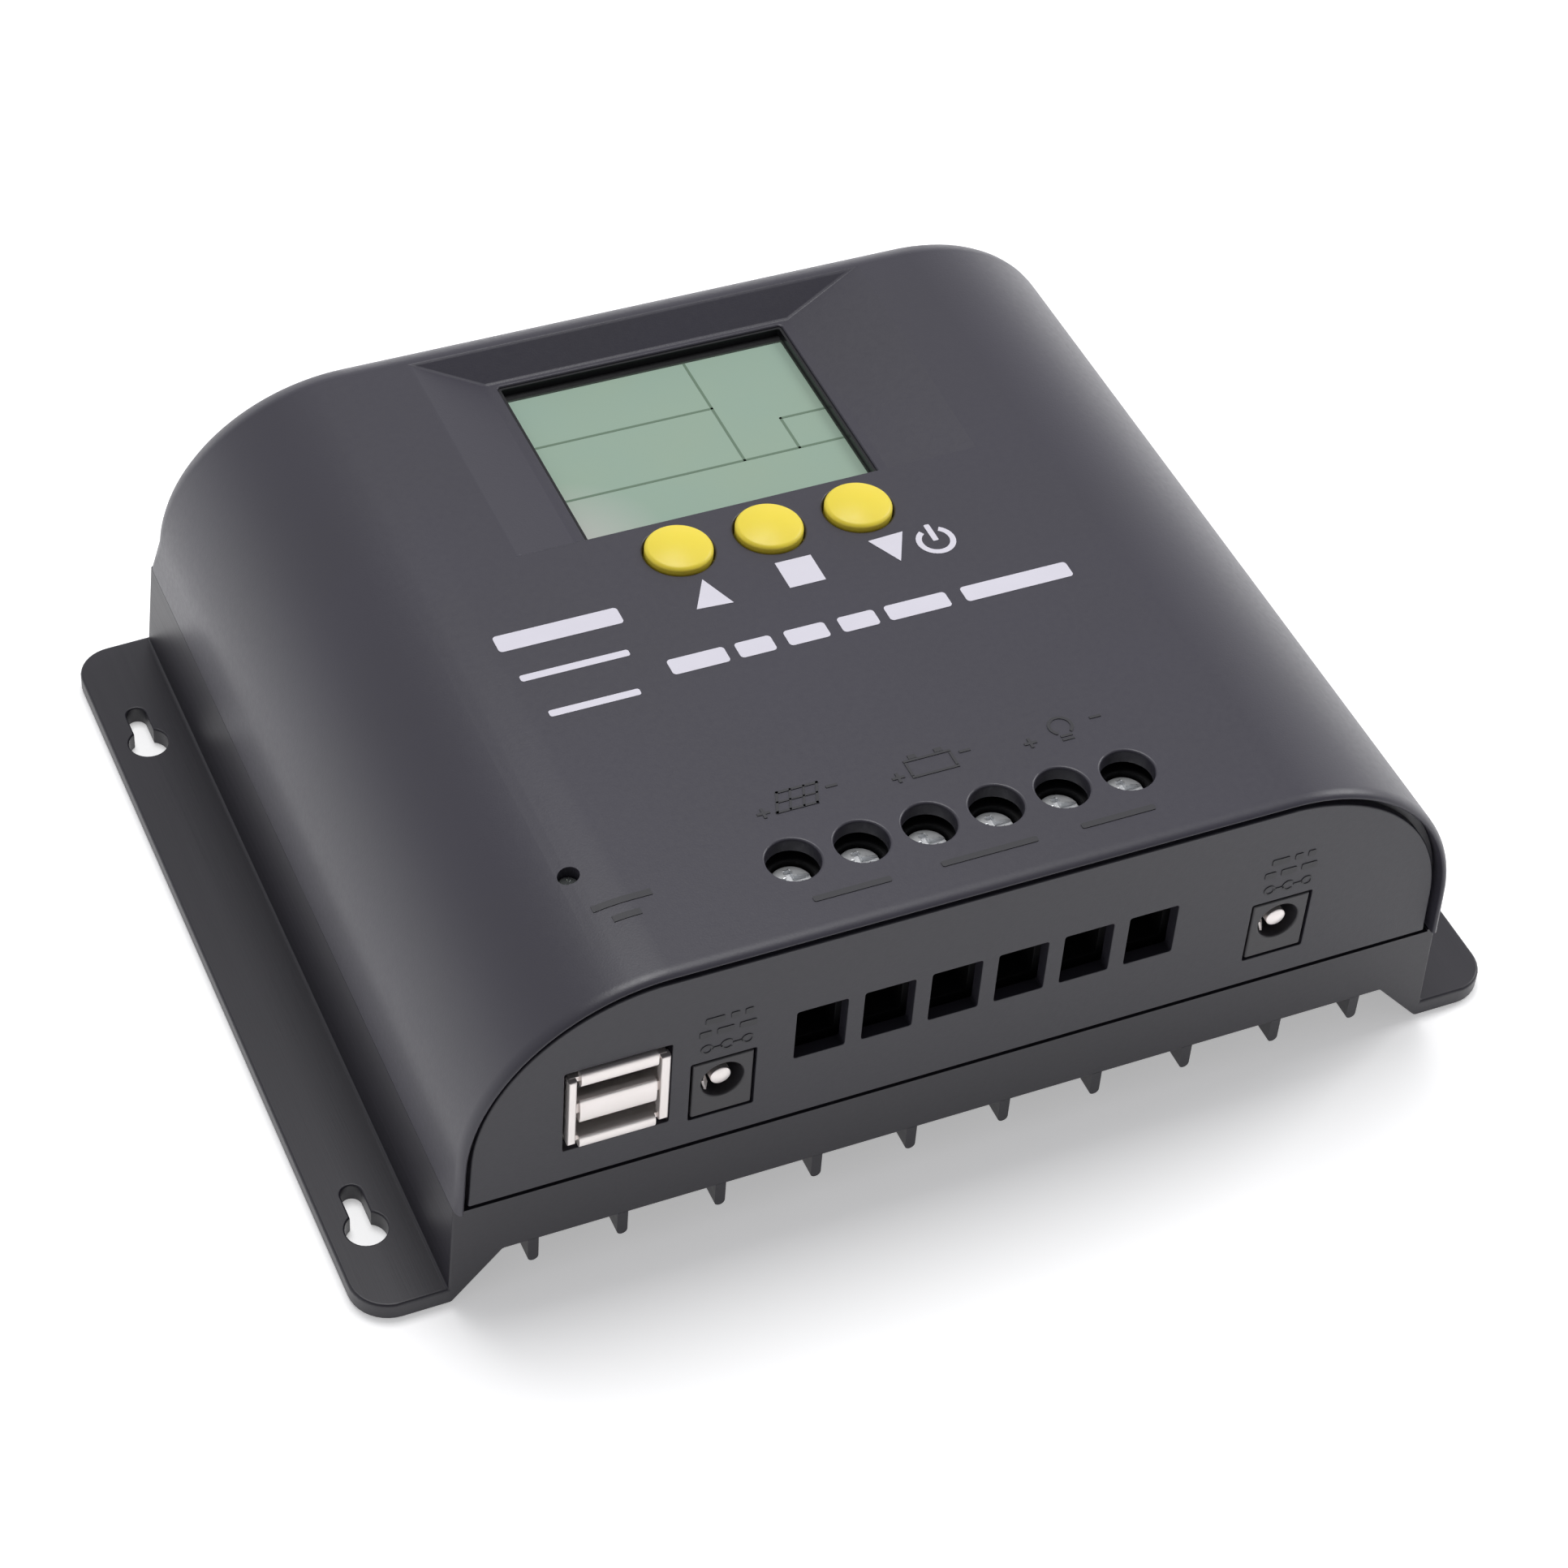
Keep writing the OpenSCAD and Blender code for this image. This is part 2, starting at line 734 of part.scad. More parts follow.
module button_cap(i) {
  dome = 0.8;
  edge_z = case_h + button_proud;
  r = button_d / 2;
  sphere_r = (r * r + dome * dome) / (2 * dome);
  color("#f2dc4a")
    translate([button_x[i], button_y, 0]) {
      intersection() {
        translate([0, 0, cap_flange[0]]) cylinder(r = r, h = case_h);
        translate([0, 0, edge_z + dome - sphere_r]) sphere(sphere_r, $fn = 96);
      }
      translate([0, 0, cap_flange[0]]) cylinder(r = r + 0.55, h = cap_flange[1] - cap_flange[0]);
      translate([0, 0, plunger_top + 0.02]) cylinder(r = 2, h = cap_flange[0] - plunger_top);
    }
}

module switch_plunger(i) {
  color("#333333")
    translate([button_x[i], button_y, switch_top - 1.6])
      cylinder(r = plunger_r, h = plunger_top - switch_top + 1.6);
}

module button_switches() {
  half = switch_size / 2;
  color("#666666")
    for (x = button_x)
      translate([x, button_y, 0])
        difference() {
          box([-half, -half, board2_top + 0.05], [half, half, switch_top]);
          translate([0, 0, switch_top - 1.6 - button_travel - 0.2]) cylinder(r = plunger_r + run_fit, h = 5);
        }
}

module status_led() {
  color("#f4f4e8")
    translate([led_x, led_y, board_top + 0.03]) {
      box([-1.75, -1.4, 0], [1.75, 1.4, 1.2]);
      translate([0, 0, 1.2 - eps]) cylinder(r = 1.1, h = 0.5);
    }
}

module led_light_pipe() {
  color("white")
    translate([led_x, led_y, 0]) {
      rod(led_d / 2 - 0.1, board_top + 2, inner_top - 0.2);
      rod(2.6, inner_top - 3.2, inner_top - 2);
    }
}

// ---------------------------------------------------------------- parts on the main board

cap_r = 8;
cap_h = 25;
cap_x = [-38, -19, 0, 19];
cap_y = -28;

module filter_capacitors() {
  groove_z = 2.2;
  color("#1b2b4a")
    for (x = cap_x)
      translate([x, cap_y, board_top + 0.05])
        difference() {
          rotate_extrude()
            polygon([
              [0, 0],
              [cap_r, 0],
              [cap_r, groove_z - 0.6],
              [cap_r - 0.6, groove_z],
              [cap_r, groove_z + 0.6],
              [cap_r, cap_h - 0.5],
              [cap_r - 0.5, cap_h],
              [0, cap_h]
            ]);
          // vent score on the can's top
          for (turn = [0, 90])
            rotate([0, 0, turn]) translate([-cap_r * 0.6, -0.25, cap_h - 0.4]) cube([cap_r * 1.2, 0.5, 1]);
        }
}

core_pos = [50, 2];
core_r = [7.5, 14];
core_h = 11;
wire_t = 1.4;

module inductor_core() {
  color("#c9b458")
    translate([core_pos[0], core_pos[1], board_top + wire_t + 0.2])
      rotate_extrude() translate([core_r[0], 0]) square([core_r[1] - core_r[0], core_h]);
}

module inductor_winding() {
  turns = 16;
  sweep = 330;
  inner = [core_r[0] - 0.05, -0.05];
  inner_size = [core_r[1] - core_r[0] + 0.1, core_h + 0.1];
  color("#b4622d")
    translate([core_pos[0], core_pos[1], board_top + wire_t + 0.2])
      for (i = [0 : turns - 1])
        rotate([90, 0, i * sweep / turns])
          translate([0, 0, -wire_t / 2])
            linear_extrude(wire_t)
              difference() {
                translate(inner - [wire_t, wire_t]) square(inner_size + 2 * [wire_t, wire_t]);
                translate(inner) square(inner_size);
              }
}

fuse_pos = [for (i = [0 : 2]) [-56, -14 + i * 13]];

module fuse_holders() {
  color("#2a2a2c")
    for (p = fuse_pos)
      translate([p[0], p[1], board_top + 0.05])
        difference() {
          box([-11, -4, 0], [11, 4, 9]);
          box([-9.7, -2.1, 2], [9.7, 2.1, 9 + cut]);
        }
}

module blade_fuses() {
  color("#3f9a4c")
    for (p = fuse_pos)
      translate([p[0], p[1], board_top + 0.05]) {
        box([-9.4, -1.9, 6], [9.4, 1.9, 16]);
        box([-9.6, -1.2, 14], [9.6, 1.2, 18.5]);
        for (s = [-1, 1]) box([s * 6.5 - 2.2, -0.4, 2.1], [s * 6.5 + 2.2, 0.4, 6 + eps]);
      }
}

header_x = [-14, 8];
header_y = [from_front(70), from_front(75)];
header_h = 4;

module board_header(z0, z1) {
  box([header_x[0], header_y[0], z0], [header_x[1], header_y[1], z1]);
}

module board_headers() {
  color("#1c1c1e") {
    board_header(board_top + 0.05, board_top + header_h);
    board_header(board2_z - header_h, board2_z - 0.05);
  }
}

module display_cable() {
  mid = (header_y[0] + header_y[1]) / 2;
  z0 = board_top + header_h + 0.05;
  z1 = board2_z - header_h - 0.05;
  bow = 3;
  t = 0.9;
  color("#8d8d90")
    along_x(header_x[0] + 1, header_x[1] - 1)
      polygon([
        [mid - t / 2, z0],
        [mid + t / 2, z0],
        [mid + t / 2 - bow, (z0 + z1) / 2],
        [mid + t / 2, z1],
        [mid - t / 2, z1],
        [mid - t / 2 - bow, (z0 + z1) / 2]
      ]);
}

// Centre X, centre Y, width and depth of each chip
chips = [[-20, 24, 12, 12], [2, 22, 8, 6], [2, 34, 8, 6], [20, 28, 5, 4], [-36, 30, 5, 4], [-36, 42, 6, 5]];

module control_chips() {
  color("#18181a")
    for (c = chips)
      translate([c[0], c[1], 0])
        box([-c[2] / 2, -c[3] / 2, board_top + 0.05], [c[2] / 2, c[3] / 2, board_top + 1.6]);
}

module current_shunt() {
  z0 = board_top + 0.05;
  color("#b08a5a")
    for (x = [40, 50])
      translate([x, -34, 0]) {
        box([-2, -8, z0 + 4], [2, 8, z0 + 5.2]);
        for (s = [-1, 1]) box([-2, s * 7.4 - 0.6, z0], [2, s * 7.4 + 0.6, z0 + 4 + eps]);
      }
}

// ---------------------------------------------------------------- nodes

heatsink_base();
top_cover();
front_panel();
cover_screws();
main_board();
board_screws();
insulating_pad();
power_transistors();
clamp_bar();
clamp_bar_screws();
terminal_housing();
contact_bars();
terminal_screw(0);  // terminal_screw_1
terminal_screw(1);  // terminal_screw_2
terminal_screw(2);  // terminal_screw_3
terminal_screw(3);  // terminal_screw_4
terminal_screw(4);  // terminal_screw_5
terminal_screw(5);  // terminal_screw_6
clamp_cage(0);  // clamp_cage_1
clamp_cage(1);  // clamp_cage_2
clamp_cage(2);  // clamp_cage_3
clamp_cage(3);  // clamp_cage_4
clamp_cage(4);  // clamp_cage_5
clamp_cage(5);  // clamp_cage_6
usb_shell();
usb_tongues();
barrel_socket(jack_x[0]);  // barrel_socket_left
barrel_socket(jack_x[1]);  // barrel_socket_right
barrel_socket_pins();
display_glass();
display_frame();
display_backlight();
display_board();
display_screws();
button_cap(0);  // button_cap_up
button_cap(1);  // button_cap_set
button_cap(2);  // button_cap_down
switch_plunger(0);  // switch_plunger_up
switch_plunger(1);  // switch_plunger_set
switch_plunger(2);  // switch_plunger_down
button_switches();
status_led();
led_light_pipe();
filter_capacitors();
inductor_core();
inductor_winding();
blade_fuses();
fuse_holders();
board_headers();
display_cable();
control_chips();
current_shunt();
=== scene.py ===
"""Looks of a wall-mounted solar charge controller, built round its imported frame.

Shapes are worked out in millimetres and turned into metres when a piece is finished.
X runs along the terminal face, Y from the terminal face to the back, Z up from the wall.
"""

import json
import math

import bmesh
import bpy
from mathutils import Matrix, Vector


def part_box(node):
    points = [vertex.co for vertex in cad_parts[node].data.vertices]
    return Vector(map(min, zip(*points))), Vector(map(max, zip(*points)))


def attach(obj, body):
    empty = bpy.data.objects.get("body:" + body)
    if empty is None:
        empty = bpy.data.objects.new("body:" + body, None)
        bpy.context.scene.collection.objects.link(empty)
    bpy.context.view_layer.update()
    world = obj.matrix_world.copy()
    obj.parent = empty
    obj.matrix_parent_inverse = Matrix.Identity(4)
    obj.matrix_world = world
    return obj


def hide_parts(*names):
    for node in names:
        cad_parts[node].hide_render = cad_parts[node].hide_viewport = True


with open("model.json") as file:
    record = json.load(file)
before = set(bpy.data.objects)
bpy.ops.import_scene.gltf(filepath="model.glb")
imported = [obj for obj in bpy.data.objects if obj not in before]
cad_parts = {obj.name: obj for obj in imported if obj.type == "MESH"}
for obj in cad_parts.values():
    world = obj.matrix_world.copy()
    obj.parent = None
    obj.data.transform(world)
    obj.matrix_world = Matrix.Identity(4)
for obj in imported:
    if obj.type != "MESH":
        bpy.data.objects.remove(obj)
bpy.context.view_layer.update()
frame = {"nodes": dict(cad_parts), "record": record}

# ---- sizes, in millimetres

MM = 0.001


def corners(node):
    """Lowest and highest corners of a CAD node, in millimetres."""
    low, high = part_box(node)
    return low / MM, high / MM


def centre(low, high):
    """The (x, y) middle of a box between two corners."""
    return (low.x + high.x) / 2, (low.y + high.y) / 2


cover_low, cover_high = corners("top_cover")
tray_low, tray_high = corners("heatsink_base")
panel_low, panel_high = corners("front_panel")
glass_low, glass_high = corners("display_glass")
usb_low, usb_high = corners("usb_shell")

CASE_H = cover_high.z
LIP_Y = cover_low.y
FACE_Y = tray_low.y
REAR_Y = tray_high.y
HALF_W = tray_high.x
PANEL_BACK_Y = panel_high.y

SHOULDER_R = 30.0
SHOULDER_X = 46.5
SHOULDER_Z = CASE_H - SHOULDER_R
SIDE_LEAN = math.radians(2.4)
REAR_LEAN = math.radians(6.6)
REAR_R = 5.0
ARC_STEPS = 28
COVER_WALL = 2.2
RIM_WALL = 1.2
GROOVE = 0.9
COVER_BOTTOM = 19.7
BAND_TOP = 19.2
FLANGE_T = 3.0
FLANGE_R = 6.0
UNDERSIDE_Z = 8.5
FLOOR_Z = 12.0
TRAY_WALL = 2.6
FOOT_X = 77.0
UNDERSIDE_SLOPE = 7.5
FIN_T = 1.6
FIN_TIP_Z = 4.2
FIN_X = [side * x for side in (-1, 1) for x in (7.4, 22.2, 37.0, 51.8, 65.1)]
KEYHOLE_R = 3.05
KEYHOLE_SLOT_R = 1.55
KEYHOLE_RUN = 6.6
KEYHOLE_OPENING = 59.46  # degrees above the X axis where the round end meets the slot
KEYHOLE_X = 84.5
KEYHOLE_Y = (FACE_Y + 14.4, FACE_Y + 118.1)
POST_X, POST_R = 58.4, 3.4
POSTS = [(x, y) for x in (-POST_X, POST_X) for y in (-42, 50)]
STANDOFFS = [(x, y) for x in (-66, 66) for y in (-62, 57)]

POLES = [corners(f"terminal_screw_{n}") for n in range(1, 7)]
POLE_X = [centre(low, high)[0] for low, high in POLES]
POLE_Y = centre(*POLES[0])[1]
DRIVER_HOLE_R = 3.85
WINDOW_HALF = 3.8
WINDOW_Z = (31.5, 40.8)

WINDOW_X = (-24.7, 22.7)
WINDOW_Y = (15.1, 54.1)
POCKET_Z = CASE_H - 3.5
POCKET_X = (-26.3, 24.3)
POCKET_Y = (13.1, 55.1)
FLARE_X = (-37.0, 37.0)
FLARE_Y = 59.4
BUTTONS = {name: corners("button_cap_" + name) for name in ("up", "set", "down")}
BUTTON_R = 5.1
BUTTON_RIM = 0.55
BUTTON_RISE = 0.8
LED_XY = (-52.9, -49.1)
JACK_X = [-37.9, 48.4]
JACK_HOLE_Z = 31.4
JACK_HOLE_R = 3.15
JACK_PIN_R = 1.5
JACK_PIN_TIP = 0.4
SOCKET_GAP = 0.35
JACK_FACE_Y = corners("barrel_socket_left")[0].y
USB_Z0 = 27.2
VIEW_X, VIEW_Y = (-24.6, 21.9), (15.6, 52.0)
FACE_TURN = Matrix.Rotation(math.radians(90), 3, "X")


def wall_x(z, inset=0.0):
    """Half width of the leaning side walls at height z."""
    joint_x = SHOULDER_X + SHOULDER_R * math.cos(SIDE_LEAN)
    joint_z = SHOULDER_Z + SHOULDER_R * math.sin(SIDE_LEAN)
    return joint_x - inset / math.cos(SIDE_LEAN) + (joint_z - z) * math.tan(SIDE_LEAN)


def rear_y(z, inset=0.0):
    """Where the leaning back wall stands at height z."""
    return REAR_Y - inset / math.cos(REAR_LEAN) - (z - FLANGE_T) * math.tan(REAR_LEAN)


def d_profile(inset, z0):
    """The D-shaped outline of the case, set in by inset: (x, z) points from right foot over the top."""
    r = SHOULDER_R - inset
    right = [(wall_x(z0, inset), z0)]
    for i in range(ARC_STEPS + 1):
        a = SIDE_LEAN + (math.pi / 2 - SIDE_LEAN) * i / ARC_STEPS
        right.append((SHOULDER_X + r * math.cos(a), SHOULDER_Z + r * math.sin(a)))
    return right + [(-x, z) for x, z in reversed(right)]


# ---- mesh helpers


def loft(rings):
    """A closed solid through rings of points, capped at both ends."""
    bm = bmesh.new()
    loops = [[bm.verts.new(p) for p in ring] for ring in rings]
    count = len(loops[0])
    for a, b in zip(loops, loops[1:]):
        for i in range(count):
            j = (i + 1) % count
            bm.faces.new((a[i], a[j], b[j], b[i]))
    bm.faces.new(list(reversed(loops[0])))
    bm.faces.new(loops[-1])
    bmesh.ops.recalc_face_normals(bm, faces=bm.faces)
    return bm


def prism(points, axis, a, b):
    """A flat outline pulled along one axis: (x, z) points for "y", (y, z) for "x", (x, y) for "z"."""
    order = {"x": (2, 0, 1), "y": (0, 2, 1), "z": (0, 1, 2)}[axis]
    rings = []
    for t in (a, b):
        rings.append([tuple((p[0], p[1], t)[k] for k in order) for p in points])
    return loft(rings)


def arc(cx, cy, r, a0, a1, steps=6):
    """Points of an arc, with angles in degrees."""
    points = []
    for i in range(steps + 1):
        a = math.radians(a0 + (a1 - a0) * i / steps)
        points.append((cx + r * math.cos(a), cy + r * math.sin(a)))
    return points


def rectangle(x0, y0, x1, y1, r=0.0, steps=6):
    """Outline of a rectangle with round corners."""
    if r <= 0:
        return [(x0, y0), (x1, y0), (x1, y1), (x0, y1)]
    points = arc(x1 - r, y0 + r, r, -90, 0, steps)
    points += arc(x1 - r, y1 - r, r, 0, 90, steps)
    points += arc(x0 + r, y1 - r, r, 90, 180, steps)
    return points + arc(x0 + r, y0 + r, r, 180, 270, steps)


def grown(box, by):
    """A flat box (x0, y0, x1, y1) pushed outwards on all sides."""
    return box[0] - by, box[1] - by, box[2] + by, box[3] + by


def block(low, high):
    """A box from its lowest corner to its highest corner."""
    return prism(rectangle(low[0], low[1], high[0], high[1]), "z", low[2], high[2])


def disc(x, y, r, steps=48):
    """Outline of a circle."""
    return arc(x, y, r, 0, 360, steps)[:-1]


def revolve(profile, steps=64, at=(0, 0)):
    """A solid turned about Z from (r, z) points that start and end on the axis."""
    bm = bmesh.new()
    inner = profile[1:-1]
    top = bm.verts.new((at[0], at[1], profile[0][1]))
    bottom = bm.verts.new((at[0], at[1], profile[-1][1]))
    rings = []
    for r, z in inner:
        rings.append([bm.verts.new((at[0] + x, at[1] + y, z)) for x, y in disc(0, 0, r, steps)])
    for i in range(steps):
        j = (i + 1) % steps
        bm.faces.new((top, rings[0][i], rings[0][j]))
        bm.faces.new((bottom, rings[-1][j], rings[-1][i]))
        for a, b in zip(rings, rings[1:]):
            bm.faces.new((a[i], b[i], b[j], a[j]))
    bmesh.ops.recalc_face_normals(bm, faces=bm.faces)
    return bm


def merged(solids):
    """One bmesh that holds several separate solids."""
    out = bmesh.new()
    for bm in solids:
        mesh = bpy.data.meshes.new("part")
        bm.to_mesh(mesh)
        bm.free()
        out.from_mesh(mesh)
        bpy.data.meshes.remove(mesh)
    return out


def moved(bm, offset=(0, 0, 0), turn=None):
    """The same bmesh after a turn (a 3x3 or 4x4 matrix) and a shift."""
    if turn is not None:
        bmesh.ops.transform(bm, matrix=turn.to_4x4(), verts=bm.verts)
    bmesh.ops.translate(bm, vec=Vector(offset), verts=bm.verts)
    return bm


def new_object(name, data):
    """An object in the scene's own collection."""
    obj = bpy.data.objects.new(name, data)
    bpy.context.scene.collection.objects.link(obj)
    return obj


def work(bm, name="work"):
    """A bmesh as an object, to be worked on."""
    mesh = bpy.data.meshes.new(name)
    bm.to_mesh(mesh)
    bm.free()
    return new_object(name, mesh)


def bmesh_of(obj):
    """An object's mesh as a bmesh; the object is removed."""
    bm = bmesh.new()
    bm.from_mesh(obj.data)
    bpy.data.objects.remove(obj)
    return bm


def bake(obj):
    """Applies an object's modifiers."""
    bpy.context.view_layer.update()
    graph = bpy.context.evaluated_depsgraph_get()
    shaped = obj.evaluated_get(graph)
    mesh = bpy.data.meshes.new_from_object(shaped, preserve_all_data_layers=True, depsgraph=graph)
    obj.modifiers.clear()
    obj.data = mesh
    return obj


def boolean(obj, solids, operation="DIFFERENCE"):
    """Cuts solids from obj, or joins them to it."""
    tool = work(merged(solids) if isinstance(solids, list) else solids)
    modifier = obj.modifiers.new("boolean", "BOOLEAN")
    modifier.operation = operation
    modifier.solver = "EXACT"
    modifier.use_self = operation == "UNION"
    modifier.object = tool
    bake(obj)
    bpy.data.objects.remove(tool)
    return obj


def clean(obj, gap=0.003, angle=0.25):
    """Merges doubled points and rejoins flat faces after booleans."""
    bm = bmesh.new()
    bm.from_mesh(obj.data)
    bmesh.ops.remove_doubles(bm, verts=bm.verts, dist=gap)
    bmesh.ops.dissolve_limit(bm, angle_limit=math.radians(angle), verts=bm.verts, edges=bm.edges)
    bm.to_mesh(obj.data)
    bm.free()
    return obj


def bevel(obj, width, chosen=None, segments=3, sharp=30):
    """Rounds sharp edges; chosen(middle) picks which, from the middle of each edge in millimetres."""
    bm = bmesh.new()
    bm.from_mesh(obj.data)
    floats = bm.edges.layers.float
    layer = floats.get("bevel_weight_edge") or floats.new("bevel_weight_edge")
    limit = math.radians(sharp)
    for edge in bm.edges:
        middle = (edge.verts[0].co + edge.verts[1].co) / 2
        turns = edge.is_manifold and edge.calc_face_angle(0.0) > limit
        edge[layer] = 1.0 if turns and (chosen is None or chosen(middle)) else 0.0
    bm.to_mesh(obj.data)
    bm.free()
    modifier = obj.modifiers.new("bevel", "BEVEL")
    modifier.limit_method = "WEIGHT"
    modifier.width = width
    modifier.segments = segments
    modifier.use_clamp_overlap = False
    modifier.miter_outer = "MITER_SHARP"
    return bake(obj)


LARGE_FLAT = 140.0  # square millimetres
STRAY = math.radians(12)  # how far a corner normal may lean on a large flat


def shade(obj, angle=40):
    """Smooth shading that keeps large flats flat, also at corners where their normals would stray."""
    obj.data.shade_smooth()
    obj.data.set_sharp_from_angle(angle=math.radians(angle))
    modifier = obj.modifiers.new("normals", "WEIGHTED_NORMAL")
    modifier.keep_sharp = True
    modifier.weight = 80
    bake(obj)
    mesh = obj.data
    normals = [corner.vector.copy() for corner in mesh.corner_normals]
    for face in mesh.polygons:
        strayed = max(normals[i].angle(face.normal, 0) for i in face.loop_indices)
        if face.area > LARGE_FLAT and strayed > STRAY:
            for i in face.loop_indices:
                normals[i] = face.normal.copy()
    mesh.normals_split_custom_set(normals)
    return obj


def piece(obj, name, body, material, nodes=(), angle=40):
    """Turns a working object or bmesh into a named piece of the model, in metres, riding on its body."""
    if isinstance(obj, bmesh.types.BMesh):
        obj = work(obj)
    shade(obj, angle)
    obj.data.transform(Matrix.Scale(MM, 4))
    obj.name = name
    obj.data.name = name
    obj.data.materials.clear()
    obj.data.materials.append(MATERIALS[material])
    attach(obj, body)
    if nodes:
        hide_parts(*nodes)


# ---- materials


def fill(node, inputs):
    """Sets a shader node's inputs, given by name or number."""
    for key, value in inputs.items():
        node.inputs[key].default_value = value


def add_node(tree, kind, inputs=None, **settings):
    """A new shader node with its settings and inputs filled in."""
    node = tree.nodes.new("ShaderNode" + kind)
    for key, value in settings.items():
        setattr(node, key, value)
    fill(node, inputs or {})
    return node


def finish_material(
    name,
    colour,
    roughness=0.45,
    metallic=0.0,
    second=None,
    drift=18.0,
    grain=0.3,
    bump=0.1,
    rough_spread=0.06,
    stretch=(1, 1, 1),
    coat=0.0,
    subsurface=0.0,
    transmission=0.0,
    specular=0.5,
):
    """A procedural finish. Colour drifts softly between colour and second over about drift millimetres;
    grain is the size of the fine surface grain in millimetres; stretch draws the grain out."""
    material = bpy.data.materials.new(name)
    material.use_nodes = True
    tree = material.node_tree
    link = tree.links.new
    shader = tree.nodes["Principled BSDF"]
    place = add_node(tree, "TexCoord").outputs["Object"]
    mapping = add_node(tree, "Mapping", {"Scale": stretch})
    link(place, mapping.inputs["Vector"])
    drawn_out = mapping.outputs["Vector"]

    def noise(scale, detail, vector):
        node = add_node(tree, "TexNoise", {"Scale": scale, "Detail": detail})
        link(vector, node.inputs["Vector"])
        return node.outputs["Fac"]

    second = second or [c * 0.86 for c in colour]
    mix = add_node(tree, "Mix", {6: (*colour, 1), 7: (*second, 1)}, data_type="RGBA")
    link(noise(1000 / drift, 3, place), mix.inputs[0])
    link(mix.outputs[2], shader.inputs["Base Color"])
    smoothest, roughest = max(0.02, roughness - rough_spread), min(1.0, roughness + rough_spread)
    spread = add_node(tree, "MapRange", {"To Min": smoothest, "To Max": roughest})
    link(noise(300 / grain, 2, drawn_out), spread.inputs["Value"])
    link(spread.outputs["Result"], shader.inputs["Roughness"])
    relief = add_node(tree, "Bump", {"Strength": bump, "Distance": grain * MM * 0.5})
    link(noise(1000 / grain, 3, drawn_out), relief.inputs["Height"])
    link(relief.outputs["Normal"], shader.inputs["Normal"])
    plain = {
        "Metallic": metallic,
        "Coat Weight": coat,
        "Coat Roughness": 0.08,
        "Subsurface Weight": subsurface,
        "Subsurface Radius": (0.004, 0.003, 0.001),
        "Subsurface Scale": 0.3,
        "Transmission Weight": transmission,
        "Specular IOR Level": specular,
    }
    fill(shader, plain)
    return material


def overlay(material, colour, factor):
    """Lays another colour over a material's base colour, as far as the factor output says."""
    tree = material.node_tree
    base = tree.nodes["Principled BSDF"].inputs["Base Color"]
    mix = add_node(tree, "Mix", {7: (*colour, 1)}, data_type="RGBA")
    tree.links.new(factor, mix.inputs[0])
    tree.links.new(base.links[0].from_socket, mix.inputs[6])
    tree.links.new(mix.outputs[2], base)


def board_material(name):
    """Solder mask with tracks that show through it and small silver pads."""
    mask, track, pad = (0.012, 0.11, 0.04), (0.02, 0.17, 0.06), (0.62, 0.63, 0.6)
    material = finish_material(name, mask, 0.3, grain=0.5, bump=0.05, coat=0.3)
    tree = material.node_tree
    link = tree.links.new
    place = add_node(tree, "TexCoord").outputs["Object"]
    black, white = (0, 0, 0, 1), (1, 1, 1, 1)
    shades = {"Color1": black, "Color2": black, "Mortar": white}
    grid = add_node(tree, "TexBrick", {"Scale": 160, "Mortar Size": 0.06, **shades})
    link(place, grid.inputs["Vector"])
    overlay(material, track, grid.outputs["Color"])
    dots = add_node(tree, "TexVoronoi", {"Scale": 320})
    link(place, dots.inputs["Vector"])
    near = add_node(tree, "Math", {1: 0.16}, operation="LESS_THAN")
    link(dots.outputs["Distance"], near.inputs[0])
    overlay(material, pad, near.outputs["Value"])
    return material


def display_material(name):
    """Reflective liquid crystal cell: sage green that drifts to teal, paler towards one corner."""
    sage, teal, pale = (0.318, 0.420, 0.306), (0.274, 0.408, 0.342), (0.50, 0.50, 0.47)
    material = finish_material(name, sage, 0.5, second=teal, drift=22, bump=0.01, coat=0.55)
    tree = material.node_tree
    link = tree.links.new
    corner = (glass_low.x * MM, (glass_low.y + 3) * MM, glass_high.z * MM)
    reach = add_node(tree, "VectorMath", {1: corner}, operation="DISTANCE")
    link(add_node(tree, "TexCoord").outputs["Object"], reach.inputs[0])
    fade = add_node(tree, "MapRange", {"From Min": 0.016, "From Max": 0.004, "To Max": 0.75})
    link(reach.outputs["Value"], fade.inputs["Value"])
    overlay(material, pale, fade.outputs["Result"])
    return material


